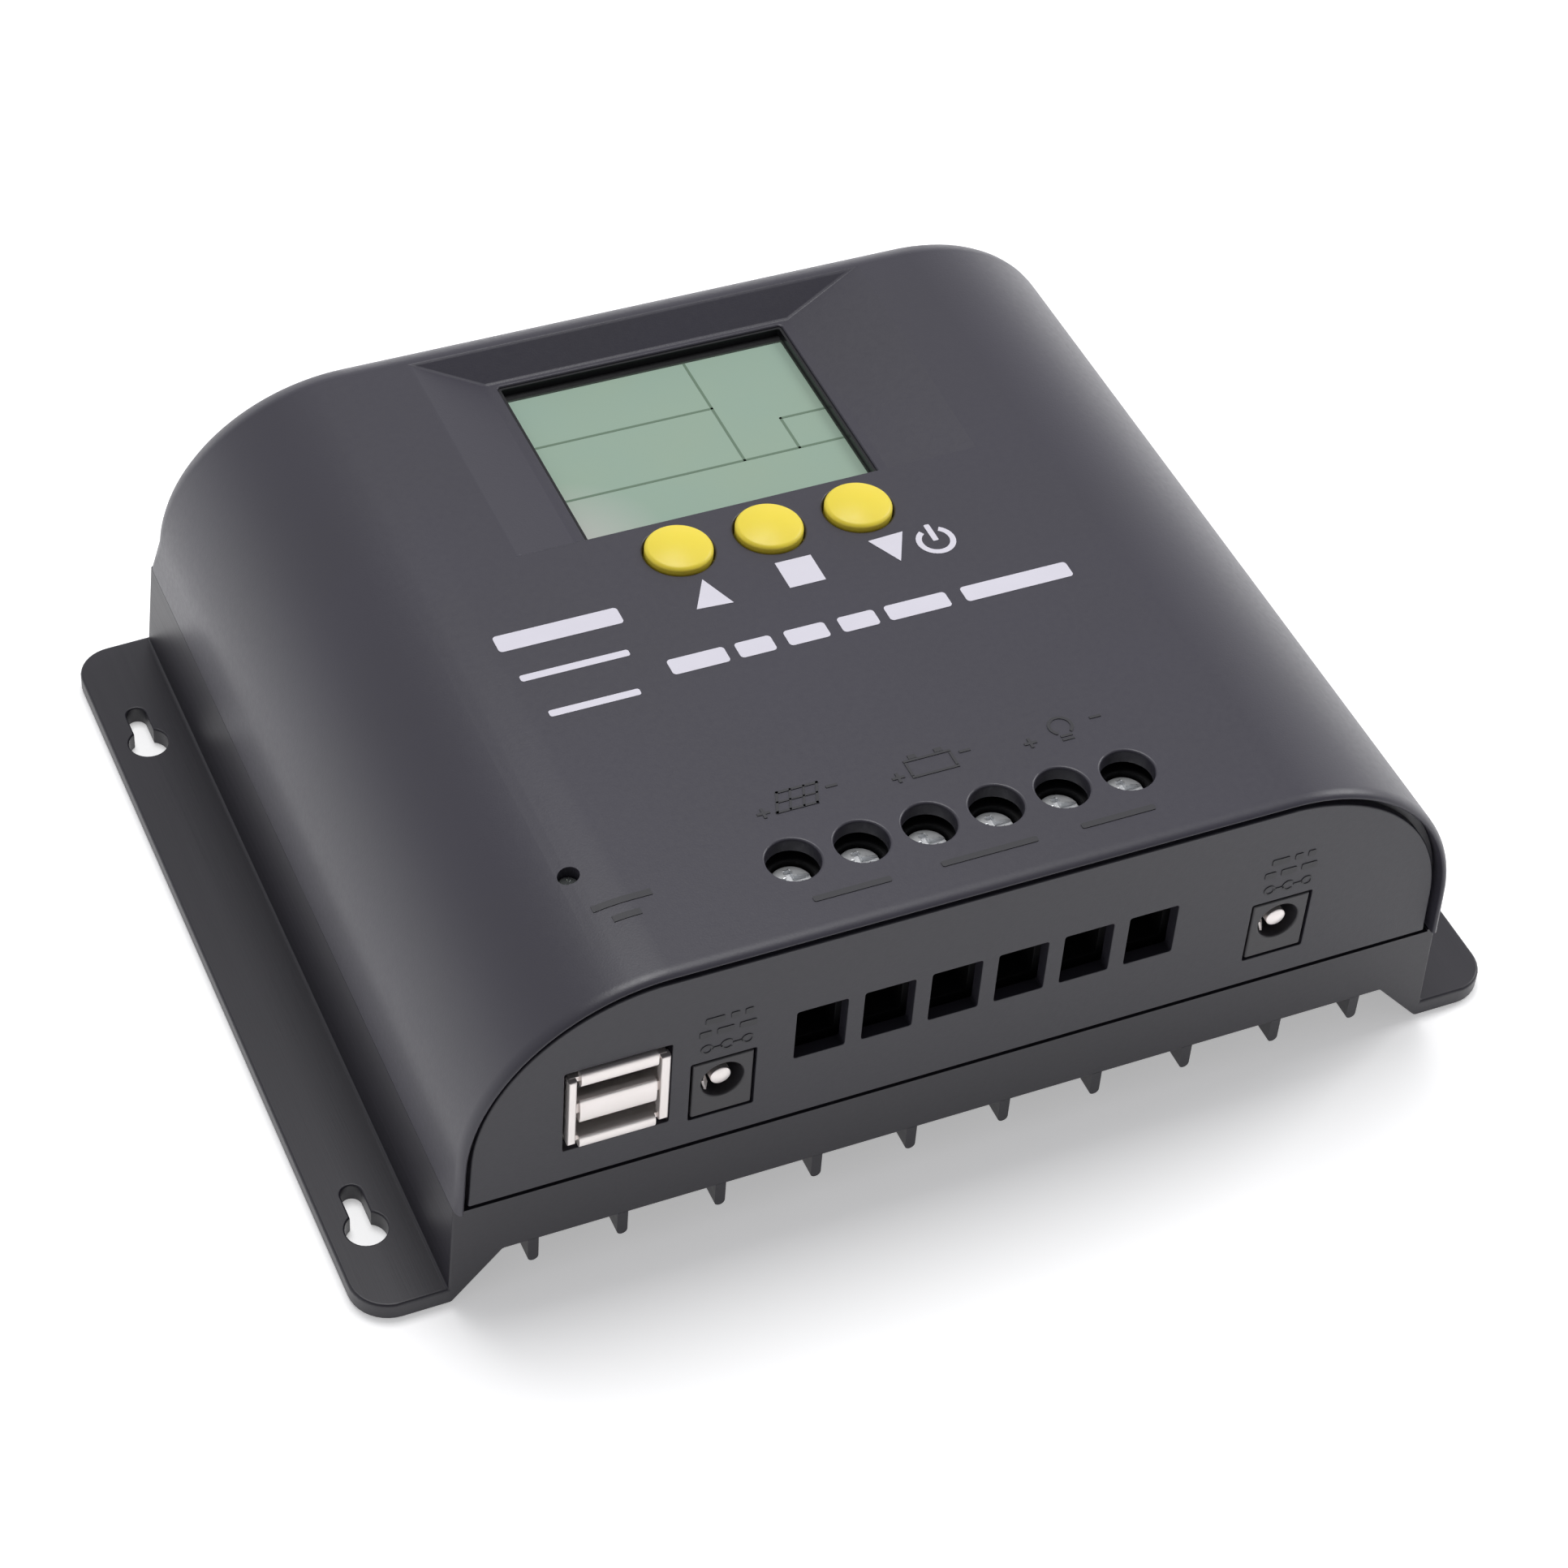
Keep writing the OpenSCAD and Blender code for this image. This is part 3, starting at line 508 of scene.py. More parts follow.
# Finishes by name: colours are linear; lengths such as drift and grain are in millimetres.
FINISHES = {
    "black_anodised_aluminium": dict(
        colour=(0.024, 0.022, 0.03), roughness=0.42, second=(0.021, 0.02, 0.026), grain=0.22,
        stretch=(1, 0.02, 1)
    ),
    "charcoal_cover_plastic": dict(
        colour=(0.05, 0.047, 0.066), roughness=0.38, second=(0.046, 0.044, 0.054), drift=40, grain=0.28,
        bump=0.12
    ),
    # darker copy of the cover plastic: painted shade for the front face, which gets less light
    "charcoal_panel_plastic": dict(
        colour=(0.029, 0.027, 0.037), roughness=0.42, second=(0.026, 0.025, 0.033), drift=40,
        grain=0.28, bump=0.12
    ),
    "raised_marks": dict(
        colour=(0.03, 0.029, 0.035), roughness=0.5, second=(0.026, 0.026, 0.03), drift=20, grain=0.2
    ),
    "white_print": dict(
        colour=(0.76, 0.74, 0.82), roughness=0.55, second=(0.7, 0.68, 0.76), drift=6, grain=0.12,
        bump=0.05
    ),
    "zinc_plated_steel": dict(
        colour=(0.93, 0.94, 0.95), roughness=0.34, metallic=0.6, second=(0.8, 0.82, 0.84), drift=3,
        grain=0.12, bump=0.08, rough_spread=0.08
    ),
    # dark steel for the clamp cages: painted shade for the dark insides of the terminal windows
    "blackened_steel": dict(
        colour=(0.035, 0.035, 0.04), roughness=0.5, metallic=0.8, second=(0.02, 0.02, 0.022), drift=4,
        grain=0.15
    ),
    "grey_silicone_pad": dict(colour=(0.42, 0.44, 0.45), roughness=0.8, grain=0.5, bump=0.15),
    "black_epoxy": dict(colour=(0.018, 0.018, 0.02), roughness=0.55, grain=0.12, bump=0.2),
    "bare_aluminium": dict(
        colour=(0.78, 0.79, 0.8), roughness=0.3, metallic=1.0, grain=0.1, bump=0.12,
        stretch=(0.03, 1, 1)
    ),
    "black_terminal_plastic": dict(colour=(0.008, 0.008, 0.009), roughness=0.6, specular=0.2),
    "tinned_brass": dict(colour=(0.72, 0.66, 0.52), roughness=0.28, metallic=1.0, grain=0.15, bump=0.08),
    "nickel_plated_steel": dict(
        colour=(0.95, 0.9, 0.88), roughness=0.38, metallic=0.7, second=(0.9, 0.84, 0.81), drift=5,
        grain=0.15, bump=0.02, rough_spread=0.05
    ),
    "black_gloss_plastic": dict(colour=(0.012, 0.012, 0.014), roughness=0.3, bump=0.05),
    "socket_plastic": dict(colour=(0.04, 0.038, 0.043), roughness=0.45),
    "display_lines": dict(colour=(0.14, 0.22, 0.15), roughness=0.5, grain=0.2, bump=0.02),
    # painted shade: dark green band round the display's view, for the shade of the window walls on the
    # glass edge
    "display_border_painted_shade": dict(colour=(0.022, 0.034, 0.024), roughness=0.4, grain=0.2, bump=0.02, coat=0.5),
    "display_mask": dict(colour=(0.006, 0.006, 0.007), roughness=0.4, grain=0.2, bump=0.02, coat=0.5),
    "white_light_guide": dict(
        colour=(0.85, 0.87, 0.85), roughness=0.35, grain=0.4, bump=0.05, subsurface=0.2
    ),
    "switch_metal": dict(colour=(0.55, 0.55, 0.56), roughness=0.35, metallic=1.0, grain=0.1),
    "led_epoxy": dict(colour=(0.8, 0.76, 0.45), roughness=0.3, bump=0.05, subsurface=0.2),
    "clear_light_pipe": dict(colour=(0.8, 0.85, 0.85), roughness=0.08, bump=0.02, transmission=0.9),
    "capacitor_sleeve": dict(colour=(0.015, 0.028, 0.09), roughness=0.3, grain=0.4, bump=0.06, coat=0.4),
    "powder_core": dict(colour=(0.55, 0.43, 0.08), roughness=0.6, grain=0.2, bump=0.2),
    "enamelled_copper": dict(
        colour=(0.72, 0.26, 0.1), roughness=0.25, metallic=1.0, second=(0.6, 0.2, 0.07), drift=3,
        grain=0.2, bump=0.06
    ),
    "fuse_green_plastic": dict(
        colour=(0.04, 0.38, 0.1), roughness=0.25, grain=0.4, bump=0.05, subsurface=0.15
    ),
    "grey_ribbon_cable": dict(
        colour=(0.3, 0.3, 0.31), roughness=0.55, grain=0.9, bump=0.4, stretch=(1, 0.02, 0.02)
    ),
    "shunt_alloy": dict(colour=(0.6, 0.42, 0.3), roughness=0.35, metallic=1.0, grain=0.1),
    "yellow_button_plastic": dict(
        colour=(0.93, 0.76, 0.066), roughness=0.42, second=(0.89, 0.71, 0.056), drift=8, bump=0.04,
        subsurface=0.12
    ),
}
MATERIALS = {name: finish_material(name, **finish) for name, finish in FINISHES.items()}
MATERIALS["reflective_lcd_glass"] = display_material("reflective_lcd_glass")
MATERIALS["circuit_board_green"] = board_material("circuit_board_green")

# ---- cover


def round_front_rings(radius, y0, inset, z0, steps=6, reach=1.0, squeeze=1.0):
    """Rings of the D outline that round its front edge over; reach lengthens the rounding along Y,
    squeeze lowers the outline a little towards the top."""
    rings = []
    for i in range(steps + 1):
        t = math.radians(90 * i / steps)
        y = y0 + reach * radius * (1 - math.cos(t))
        outline = d_profile(inset + radius * (1 - math.sin(t)), z0)
        rings.append([(x, y, z0 + (z - z0) * squeeze) for x, z in outline])
    return rings


def round_rear_rings(radius, foot_radius, z0, steps=8):
    """Rings of the D outline that round its leaning back edge over, less so at the two feet."""
    rings = []
    for i in range(steps + 1):
        t = math.radians(90 * i / steps)
        step_in, step_back = 1 - math.cos(t), 1 - math.sin(t)
        outline = d_profile(radius * step_in, z0)
        ring = [(x, rear_y(z) - radius * step_back, z) for x, z in outline]
        for end in (0, -1):
            x, z = d_profile(foot_radius * step_in, z0)[end]
            ring[end] = (x, rear_y(z) - foot_radius * step_back, z)
        rings.append(ring)
    return rings


def hole_cutter(x, y, r, top, bottom, edge, steps=48):
    """A cutter for a round hole whose rim is rounded over."""
    profile = [(0, top + 1), (r + edge, top + 1), (r + edge, top + 0.001)]
    for a in (70, 50, 30, 0):
        a = math.radians(a)
        profile.append((r + edge * (1 - math.cos(a)), top - edge * (1 - math.sin(a))))
    return revolve(profile + [(r, bottom), (0, bottom)], steps, (x, y))


def pocket_cutter():
    """The flared recess round the display: sloping left, right and back sides, upright front."""
    over = 1.0
    grow = over / (CASE_H - POCKET_Z)
    x0 = FLARE_X[0] - grow * (POCKET_X[0] - FLARE_X[0])
    x1 = FLARE_X[1] + grow * (FLARE_X[1] - POCKET_X[1])
    y1 = FLARE_Y + grow * (FLARE_Y - POCKET_Y[1])
    low = rectangle(POCKET_X[0], POCKET_Y[0], POCKET_X[1], POCKET_Y[1])
    high = rectangle(x0, POCKET_Y[0], x1, y1)
    return loft([[(x, y, POCKET_Z) for x, y in low], [(x, y, CASE_H + over) for x, y in high]])


def make_cover():
    """The moulded shell: rounded front lip and back edge, display pocket, button and driver holes."""
    front = round_front_rings(0.8, LIP_Y, 0, COVER_BOTTOM, 8, 2.2)
    cover = work(loft(front + round_rear_rings(REAR_R, 1.0, COVER_BOTTOM)))
    below = COVER_BOTTOM - 2
    inner = d_profile(COVER_WALL, below)
    inner_rings = [
        [(x, PANEL_BACK_Y + 0.05, z) for x, z in inner],
        [(x, min(rear_y(z, COVER_WALL), REAR_Y), z) for x, z in inner],
    ]
    boolean(cover, loft(inner_rings))
    rim_steps = [(LIP_Y - 2, 0.0), (LIP_Y, 0.0), (LIP_Y + 0.12, 0.2), (LIP_Y + 0.4, 0.4)]
    rim_steps.append((PANEL_BACK_Y + 0.1, 0.4))
    rim_rings = []
    for y, step in rim_steps:
        rim_rings.append([(x, y, z) for x, z in d_profile(RIM_WALL - 0.4 + step, below)])
    boolean(cover, loft(rim_rings))
    # the tub is the solid that the display pocket is sunk into
    tub_y, tub_z, bend_z = 11.9, POCKET_Z - 1.6, CASE_H - REAR_R
    bend = arc(rear_y(bend_z, REAR_R), bend_z, REAR_R - COVER_WALL / 2, math.degrees(REAR_LEAN), 90, 8)
    tub = [(tub_y, tub_z), (rear_y(tub_z, COVER_WALL / 2), tub_z)] + bend + [(tub_y, bend[-1][1])]
    boolean(cover, prism(tub, "x", -41, 41), "UNION")
    boolean(cover, pocket_cutter())
    window = rectangle(WINDOW_X[0], WINDOW_Y[0], WINDOW_X[1], WINDOW_Y[1], 0.5, 3)
    boolean(cover, prism(window, "z", tub_z - 1, CASE_H))
    clean(cover)

    def pocket_edge(middle):
        within_x = FLARE_X[0] - 0.1 < middle.x < FLARE_X[1] + 0.1
        within_y = POCKET_Y[0] - 0.1 < middle.y < FLARE_Y + 0.1
        return within_x and within_y and middle.z > POCKET_Z - 0.05

    bevel(cover, 0.35, pocket_edge, 3, 18)
    holes = [hole_cutter(x, POLE_Y, DRIVER_HOLE_R, CASE_H, CASE_H - 4, 0.45) for x in POLE_X]
    for low, high in BUTTONS.values():
        holes.append(hole_cutter(*centre(low, high), BUTTON_R + 0.25, CASE_H, tub_z - 3, 0.4))
    boolean(cover, holes)
    boolean(cover, prism(disc(*LED_XY, 1.55, 32), "z", CASE_H - 6, CASE_H + 1))
    reach = POST_X + POST_R - SHOULDER_X
    post_top = SHOULDER_Z + math.sqrt((SHOULDER_R - COVER_WALL / 2) ** 2 - reach**2)
    posts = [prism(disc(x, y, POST_R, 32), "z", FLOOR_Z + 0.05, post_top) for x, y in POSTS]
    boolean(cover, posts, "UNION")
    piece(cover, "cover_shell", "case", "charcoal_cover_plastic", ["top_cover"])


# ---- front panel


def make_panel():
    """The flat plate in the open front end, with its windows and socket openings."""
    inset, foot, squeeze = RIM_WALL + GROOVE, panel_low.z + 0.05, 0.972
    step_y = FACE_Y + 1.55
    rings = round_front_rings(0.3, FACE_Y, inset, foot, 4, 1.0, squeeze)
    rings.append([(x, step_y, foot + (z - foot) * squeeze) for x, z in d_profile(inset, foot)])
    for y in (step_y, PANEL_BACK_Y):
        rings.append([(x, y, z) for x, z in d_profile(RIM_WALL + 0.15, panel_low.z)])
    panel = work(loft(rings))
    openings = []
    for x in POLE_X:
        window = (x - WINDOW_HALF, WINDOW_Z[0], x + WINDOW_HALF, WINDOW_Z[1])
        openings.append(rectangle(*window, 0.35, 3))
    for side in ("left", "right"):
        low, high = corners("barrel_socket_" + side)
        openings.append(rectangle(*grown((low.x, low.z, high.x, high.z), SOCKET_GAP), 0.3, 3))
    usb_x0, usb_x1 = usb_low.x - SOCKET_GAP, usb_high.x + SOCKET_GAP
    openings.append(rectangle(usb_x0, 25.8, usb_x1, usb_high.z + 1.2, 0.3, 3))
    boolean(panel, [prism(points, "y", FACE_Y - 3, PANEL_BACK_Y + 3) for points in openings])
    clean(panel)

    def opening_edge(middle):
        on_face = abs(middle.y - FACE_Y) < 0.01
        return on_face and panel_low.z + 3 < middle.z < 46 and abs(middle.x) < 64

    bevel(panel, 0.22, opening_edge, 2)
    # the panel's darker plastic is painted shade for the front face, which gets less light than the top
    piece(panel, "panel_plate", "case", "charcoal_panel_plastic", ["front_panel"])


# ---- heatsink tray


def make_tray():
    """The finned base: flanges with keyholes, leaning walls, sloped underside, fins and standoffs."""
    tray = work(prism(rectangle(-HALF_W, FACE_Y, HALF_W, REAR_Y, FLANGE_R, 10), "z", 0, FLANGE_T))
    top = COVER_BOTTOM - 0.1
    front_y = FACE_Y + 3.2

    def ring(z, level, inset, front):
        """The four corners that the leaning walls have at height z, drawn at another level."""
        x, back = wall_x(z, inset), rear_y(z, inset)
        return [(-x, front, level), (x, front, level), (x, back, level), (-x, back, level)]

    body = ((FLANGE_T, 0.5), (FLANGE_T, FLANGE_T), (top, top))
    boolean(tray, loft([ring(z, level, 0, FACE_Y) for z, level in body]), "UNION")
    under = [(FOOT_X, -1), (FOOT_X, 0), (FOOT_X - UNDERSIDE_SLOPE, UNDERSIDE_Z)]
    under += [(-x, z) for x, z in reversed(under)]
    boolean(tray, prism(under, "y", FACE_Y - 5, REAR_Y + 5))
    boolean(tray, loft([ring(z, z, TRAY_WALL, front_y) for z in (FLOOR_Z, top + 3)]))
    band = wall_x(BAND_TOP, RIM_WALL + 0.15)
    boolean(tray, block((-band, FACE_Y - 2, BAND_TOP), (band, front_y + 0.1, top + 3)))
    clean(tray)
    bevel(tray, 0.45, lambda middle: middle.z < top - 0.6, 3, 25)
    added = [block((-68, PANEL_BACK_Y + 0.1, BAND_TOP - 0.5), (68, front_y, 21.6))]
    root_z, half = UNDERSIDE_Z + 0.3, FIN_T / 2
    for x in FIN_X:
        tip = arc(x, FIN_TIP_Z + half, half, 180, 360, 8)
        outline = [(x - half, root_z)] + tip + [(x + half, root_z)]
        added.append(prism(outline, "y", FACE_Y + 0.02, REAR_Y - 1))
    added += [prism(disc(x, y, 3.5, 32), "z", FLOOR_Z - 0.5, 23.4) for x, y in STANDOFFS]
    boolean(tray, added, "UNION")
    keyholes = []
    for x in (-KEYHOLE_X, KEYHOLE_X):
        for y in KEYHOLE_Y:
            outline = arc(x, y, KEYHOLE_R, 180 - KEYHOLE_OPENING, 360 + KEYHOLE_OPENING, 28)
            outline += arc(x, y + KEYHOLE_RUN, KEYHOLE_SLOT_R, 0, 180, 14)
            keyholes.append(prism(outline, "z", -1, FLANGE_T + 1))
    boolean(tray, keyholes)

    def keyhole_edge(middle):
        near_x = 80.5 < abs(middle.x) < 88.5
        return near_x and abs(middle.z - FLANGE_T) < 0.01 and abs(middle.y) < 62

    bevel(tray, 0.3, keyhole_edge, 3)
    boolean(tray, [prism(disc(x, y, 1.7, 24), "z", UNDERSIDE_Z - 2, FLOOR_Z + 1) for x, y in POSTS])
    piece(tray, "finned_tray", "case", "black_anodised_aluminium", ["heatsink_base"])


# ---- buttons


def make_button(name):
    """A domed push button with a rounded rim, a hidden collar and a stem."""
    low, high = BUTTONS[name]
    flat_r = BUTTON_R - BUTTON_RIM
    rim_z = CASE_H + 0.9 - BUTTON_RIM
    sphere_r = (BUTTON_R**2 + BUTTON_RISE**2) / (2 * BUTTON_RISE)
    profile = []
    for i in range(9):
        r = flat_r * i / 8
        profile.append((r, high.z - sphere_r + math.sqrt(sphere_r**2 - r * r)))
    for a in (30, 50, 70, 90):
        a = math.radians(a)
        profile.append((flat_r + BUTTON_RIM * math.sin(a), rim_z + BUTTON_RIM * math.cos(a)))
    collar_r = BUTTON_R + 0.55
    under = [(BUTTON_R, 4.1), (collar_r, 3.9), (collar_r, 3.2), (2, 3.2), (2, 0.1), (1.8, 0), (0, 0)]
    profile += [(r, low.z + z) for r, z in under]
    cap = revolve(profile, 72, centre(low, high))
    title = "button_" + name
    piece(cap, title, title, "yellow_button_plastic", ["button_cap_" + name], 50)


# ---- display


def make_display():
    """The glass with its separating lines, a dark green edge band of painted shade and a black mask
    edge, and the frame that holds it, with a black lip lining the window walls as painted shade.
    """
    top = glass_high.z
    cell = work(block(glass_low, glass_high))
    bevel(cell, 0.15)
    piece(cell, "display_cell", "case", "reflective_lcd_glass", ["display_glass"])
    split_x, split_y, low_y = 5.4, 40.4, 27.4
    box_x, box_y = 14.5, 34.8
    lines = [
        (VIEW_X[0], split_y, split_x, split_y),
        (VIEW_X[0], low_y, VIEW_X[1], low_y),
        (split_x, low_y, split_x, VIEW_Y[1]),
        (box_x, box_y, VIEW_X[1], box_y),
        (box_x, low_y, box_x, box_y),
    ]
    strips = []
    for line in lines:
        strips.append(prism(rectangle(*grown(line, 0.21), 0.1, 2), "z", top + 0.005, top + 0.03))
    piece(merged(strips), "display_separators", "case", "display_lines")
    view = (VIEW_X[0], VIEW_Y[0], VIEW_X[1], VIEW_Y[1])
    glass = (glass_low.x, glass_low.y, glass_high.x, glass_high.y)
    mask_inner = (*grown(view, 0.8)[:3], VIEW_Y[1] + 0.4)
    # the dark green edge band is painted shade of the window walls on the glass; the black edge is the
    # cell's mask
    for name, material, outer, inner, height in (
        ("display_edge_painted_shade", "display_border_painted_shade", grown(view, 0.9), view, 0.035),
        ("display_black_edge", "display_mask", glass, mask_inner, 0.05),
    ):
        border = work(prism(rectangle(*outer, 0.2, 2), "z", top + 0.005, top + height))
        boolean(border, prism(rectangle(*inner, 0.2, 2), "z", top - 1, top + 1))
        piece(border, name, "case", material)
    frame_low, frame_high = corners("display_frame")
    outline = rectangle(frame_low.x, frame_low.y, frame_high.x, frame_high.y, 1.0, 4)
    shell = work(prism(outline, "z", frame_low.z, frame_high.z))
    seat = rectangle(*grown(glass, 0.1), 0.2, 2)
    boolean(shell, prism(seat, "z", frame_low.z - 1, frame_high.z + 1))
    window = (WINDOW_X[0], WINDOW_Y[0], WINDOW_X[1], WINDOW_Y[1])
    # the black lip up the window walls is painted shade: a dark sheet where the walls stand in shade
    lip_outer = rectangle(*grown(window, -0.05), 0.5, 3)
    lip_inner = rectangle(*grown(window, -0.45), 0.3, 3)
    lip = work(prism(lip_outer, "z", top + 0.06, POCKET_Z - 0.35))
    boolean(lip, prism(lip_inner, "z", top - 1, POCKET_Z + 1))
    both = merged([bmesh_of(shell), bmesh_of(lip)])
    piece(both, "display_bezel", "case", "black_gloss_plastic", ["display_frame"])


# ---- printed and raised marks


def arc_band(x, y, r_out, r_in, a0, a1, steps=28):
    """Outline of a flat arc band between two angles, in degrees."""
    return arc(x, y, r_out, a0, a1, steps) + arc(x, y, r_in, a0, a1, steps)[::-1]


def marks(outlines, z0, z1):
    """Flat marks between two heights, as one bmesh."""
    return merged([prism(points, "z", z0, z1) for points in outlines])


def make_print():
    """The white print on the cover: button symbols, and plain bars in place of the wording."""
    z0, z1 = CASE_H + 0.004, CASE_H + 0.05
    symbols = [
        [(-16.7, -6.5), (-11.1, -6.9), (-13.5, -0.8)],
        rectangle(-2.2, -6.8, 3.5, -1.1),
        [(12.7, -1.2), (18.4, -0.9), (15.5, -6.8)],
        arc_band(22.3, -4.3, 3.0, 2.1, 122, 418),
        rectangle(21.85, -4.4, 22.75, -0.7, 0.2),
    ]
    piece(marks(symbols, z0, z1), "printed_symbols", "case", "white_print")
    bars = [
        rectangle(-46.5, -5.6, -27.5, -2.2, 0.6),
        rectangle(-45.7, -12.3, -29.2, -11.0, 0.4),
        rectangle(-44.4, -20.3, -30.7, -19.0, 0.4),
    ]
    for x0, x1 in ((-25.0, -16.2), (-14.6, -9.0), (-7.0, -0.6), (1.4, 7.2), (8.8, 18.6), (21.0, 38.2)):
        bars.append(rectangle(x0, -18.2, x1, -15.0, 0.6))
    piece(marks(bars, z0, z1), "printed_plain_bars", "case", "white_print")


def sign(x, y, size, plus, t=0.45):
    """Outlines of a plus or minus sign."""
    arm, half = size / 2, t / 2
    outlines = [rectangle(x - arm, y - half, x + arm, y + half)]
    if plus:
        outlines.append(rectangle(x - half, y + half, x + half, y + arm))
        outlines.append(rectangle(x - half, y - arm, x + half, y - half))
    return outlines


def stroke(x0, y0, x1, y1, t=0.4):
    """Outline of a straight line of width t between two points, with square ends."""
    along = Vector((x1 - x0, y1 - y0)).normalized() * (t / 2)
    across = Vector((-along.y, along.x))
    start, end = Vector((x0, y0)) - along, Vector((x1, y1)) + along
    return [start + across, start - across, end - across, end + across]


def make_raised_marks():
    """Faint raised signs by the driver holes: plus, minus, sun panel, battery, lamp and plain bars."""
    y = POLE_Y + 10.6
    signs = []
    for first in (0, 2, 4):
        signs += sign(POLE_X[first] - 0.4, y - 1.2, 1.9, True)
        signs += sign(POLE_X[first + 1] + 0.4, y + 0.6, 1.7, False)

    def between(p, q, f):
        return [p[k] + (q[k] - p[k]) * f for k in (0, 1)]

    # sun panel: a leaning frame with cross lines
    cx = (POLE_X[0] + POLE_X[1]) / 2
    a, b, c, d = (cx - 3.6, y - 1.7), (cx + 2.4, y - 1.7), (cx + 3.8, y + 1.9), (cx - 2.2, y + 1.9)
    for p, q in ((a, b), (b, c), (c, d), (d, a)):
        signs.append(stroke(*p, *q))
    for f in (0.33, 0.67):
        signs.append(stroke(*between(a, b, f), *between(d, c, f), 0.3))
    signs.append(stroke(*between(a, d, 0.5), *between(b, c, 0.5), 0.3))
    # battery: a box with two posts
    cx = (POLE_X[2] + POLE_X[3]) / 2
    for side_y in (y - 1.8, y + 1.4):
        signs.append(stroke(cx - 3.4, side_y, cx + 3.4, side_y))
    for x in (cx - 3.4, cx + 3.4):
        signs.append(stroke(x, y - 1.3, x, y + 0.9))
    for x in (cx - 2.0, cx + 2.0):
        signs.append(rectangle(x - 0.6, y + 1.65, x + 0.6, y + 2.4))
    # lamp: a ring on a short foot
    cx = (POLE_X[4] + POLE_X[5]) / 2
    signs.append(arc_band(cx, y + 0.5, 1.9, 1.45, -55, 235))
    for foot_y in (y - 1.7, y - 2.4):
        signs.append(rectangle(cx - 0.9, foot_y, cx + 0.9, foot_y + 0.4))
    # plain bars between the holes and the front edge
    for x0, x1 in ((-24.0, -12.5), (-5.0, 9.5), (16.2, 27.5)):
        signs.append(rectangle(x0, -65.6, x1, -64.6, 0.3))
    piece(marks(signs, CASE_H + 0.003, CASE_H + 0.11), "raised_symbols", "case", "raised_marks")


def make_indicator_marks():
    """Two plain raised bars beside the indicator, following the curve of the shoulder."""
    bars = []
    for x0, x1, y0, y1 in ((-52.3, -43.8, -56.8, -55.7), (-50.4, -46.4, -59.6, -58.5)):
        rings = []
        for k in range(9):
            x = x0 + (x1 - x0) * k / 8
            z = SHOULDER_Z + math.sqrt(SHOULDER_R**2 - max(0.0, abs(x) - SHOULDER_X) ** 2)
            high, low = z + 0.1, z - 0.05
            rings.append([(x, y0, high), (x, y1, high), (x, y1, low), (x, y0, low)])
        bars.append(loft(rings))
    piece(merged(bars), "indicator_bars", "case", "raised_marks")


def make_polarity_marks():
    """Three rings joined by a line, standing for plus, ring and minus, with two rows of plain bars
    above, over each barrel socket.
    """
    signs = [arc_band(0, 0, 1.0, 0.65, 40, 320)]
    for side, near in ((-1, 0.9), (1, 1.0)):
        signs.append(stroke(side * near, 0, side * 2.1, 0, 0.3))
        signs.append(arc_band(side * 3.0, 0, 0.9, 0.6, 0, 359))
    for x0, x1 in ((-4.2, -2.4), (-1.6, 0.9), (1.7, 4.2)):
        signs.append(rectangle(x0, 2.5, x1, 3.7, 0.25))
    for x0, x1 in ((-3.4, -0.6), (0.3, 1.6), (2.4, 3.6)):
        signs.append(rectangle(x0, 5.0, x1, 6.2, 0.25))
    groups = [moved(marks(signs, 0.003, 0.1), (x, FACE_Y, 38.6), FACE_TURN) for x in (-37.6, 48.8)]
    piece(merged(groups), "socket_marks", "case", "raised_marks")


# ---- sockets


def sheet(points, x0, x1, half=0.16):
    """A bent sheet-metal strip: a (y, z) centre line given a thickness and pulled along X."""
    upper, lower = [], []
    for i, (y, z) in enumerate(points):
        a = Vector(points[max(0, i - 1)])
        b = Vector(points[min(len(points) - 1, i + 1)])
        d = (b - a).normalized()
        n = Vector((-d.y, d.x)) * half
        upper.append((y + n.x, z + n.y))
        lower.append((y - n.x, z - n.y))
    return prism(upper + list(reversed(lower)), "x", x0, x1)


def rolled_edge(x0, x1, z0, z1, front, bulge):
    """A rolled sheet edge seen from in front: a low round nose between z0 and z1."""
    middle, half = (z0 + z1) / 2, (z1 - z0) / 2
    nose = []
    for i in range(13):
        a = math.radians(-90 + 15 * i)
        nose.append((front - bulge * max(0.0, math.cos(a)) ** 0.7, middle + half * math.sin(a)))
    back = front + 0.8
    bar = work(prism([(back, z0)] + nose + [(back, z1)], "x", x0, x1))
    bevel(bar, 0.12, lambda middle: min(abs(middle.x - x0), abs(middle.x - x1)) < 0.01, 2, 20)
    return bmesh_of(bar)


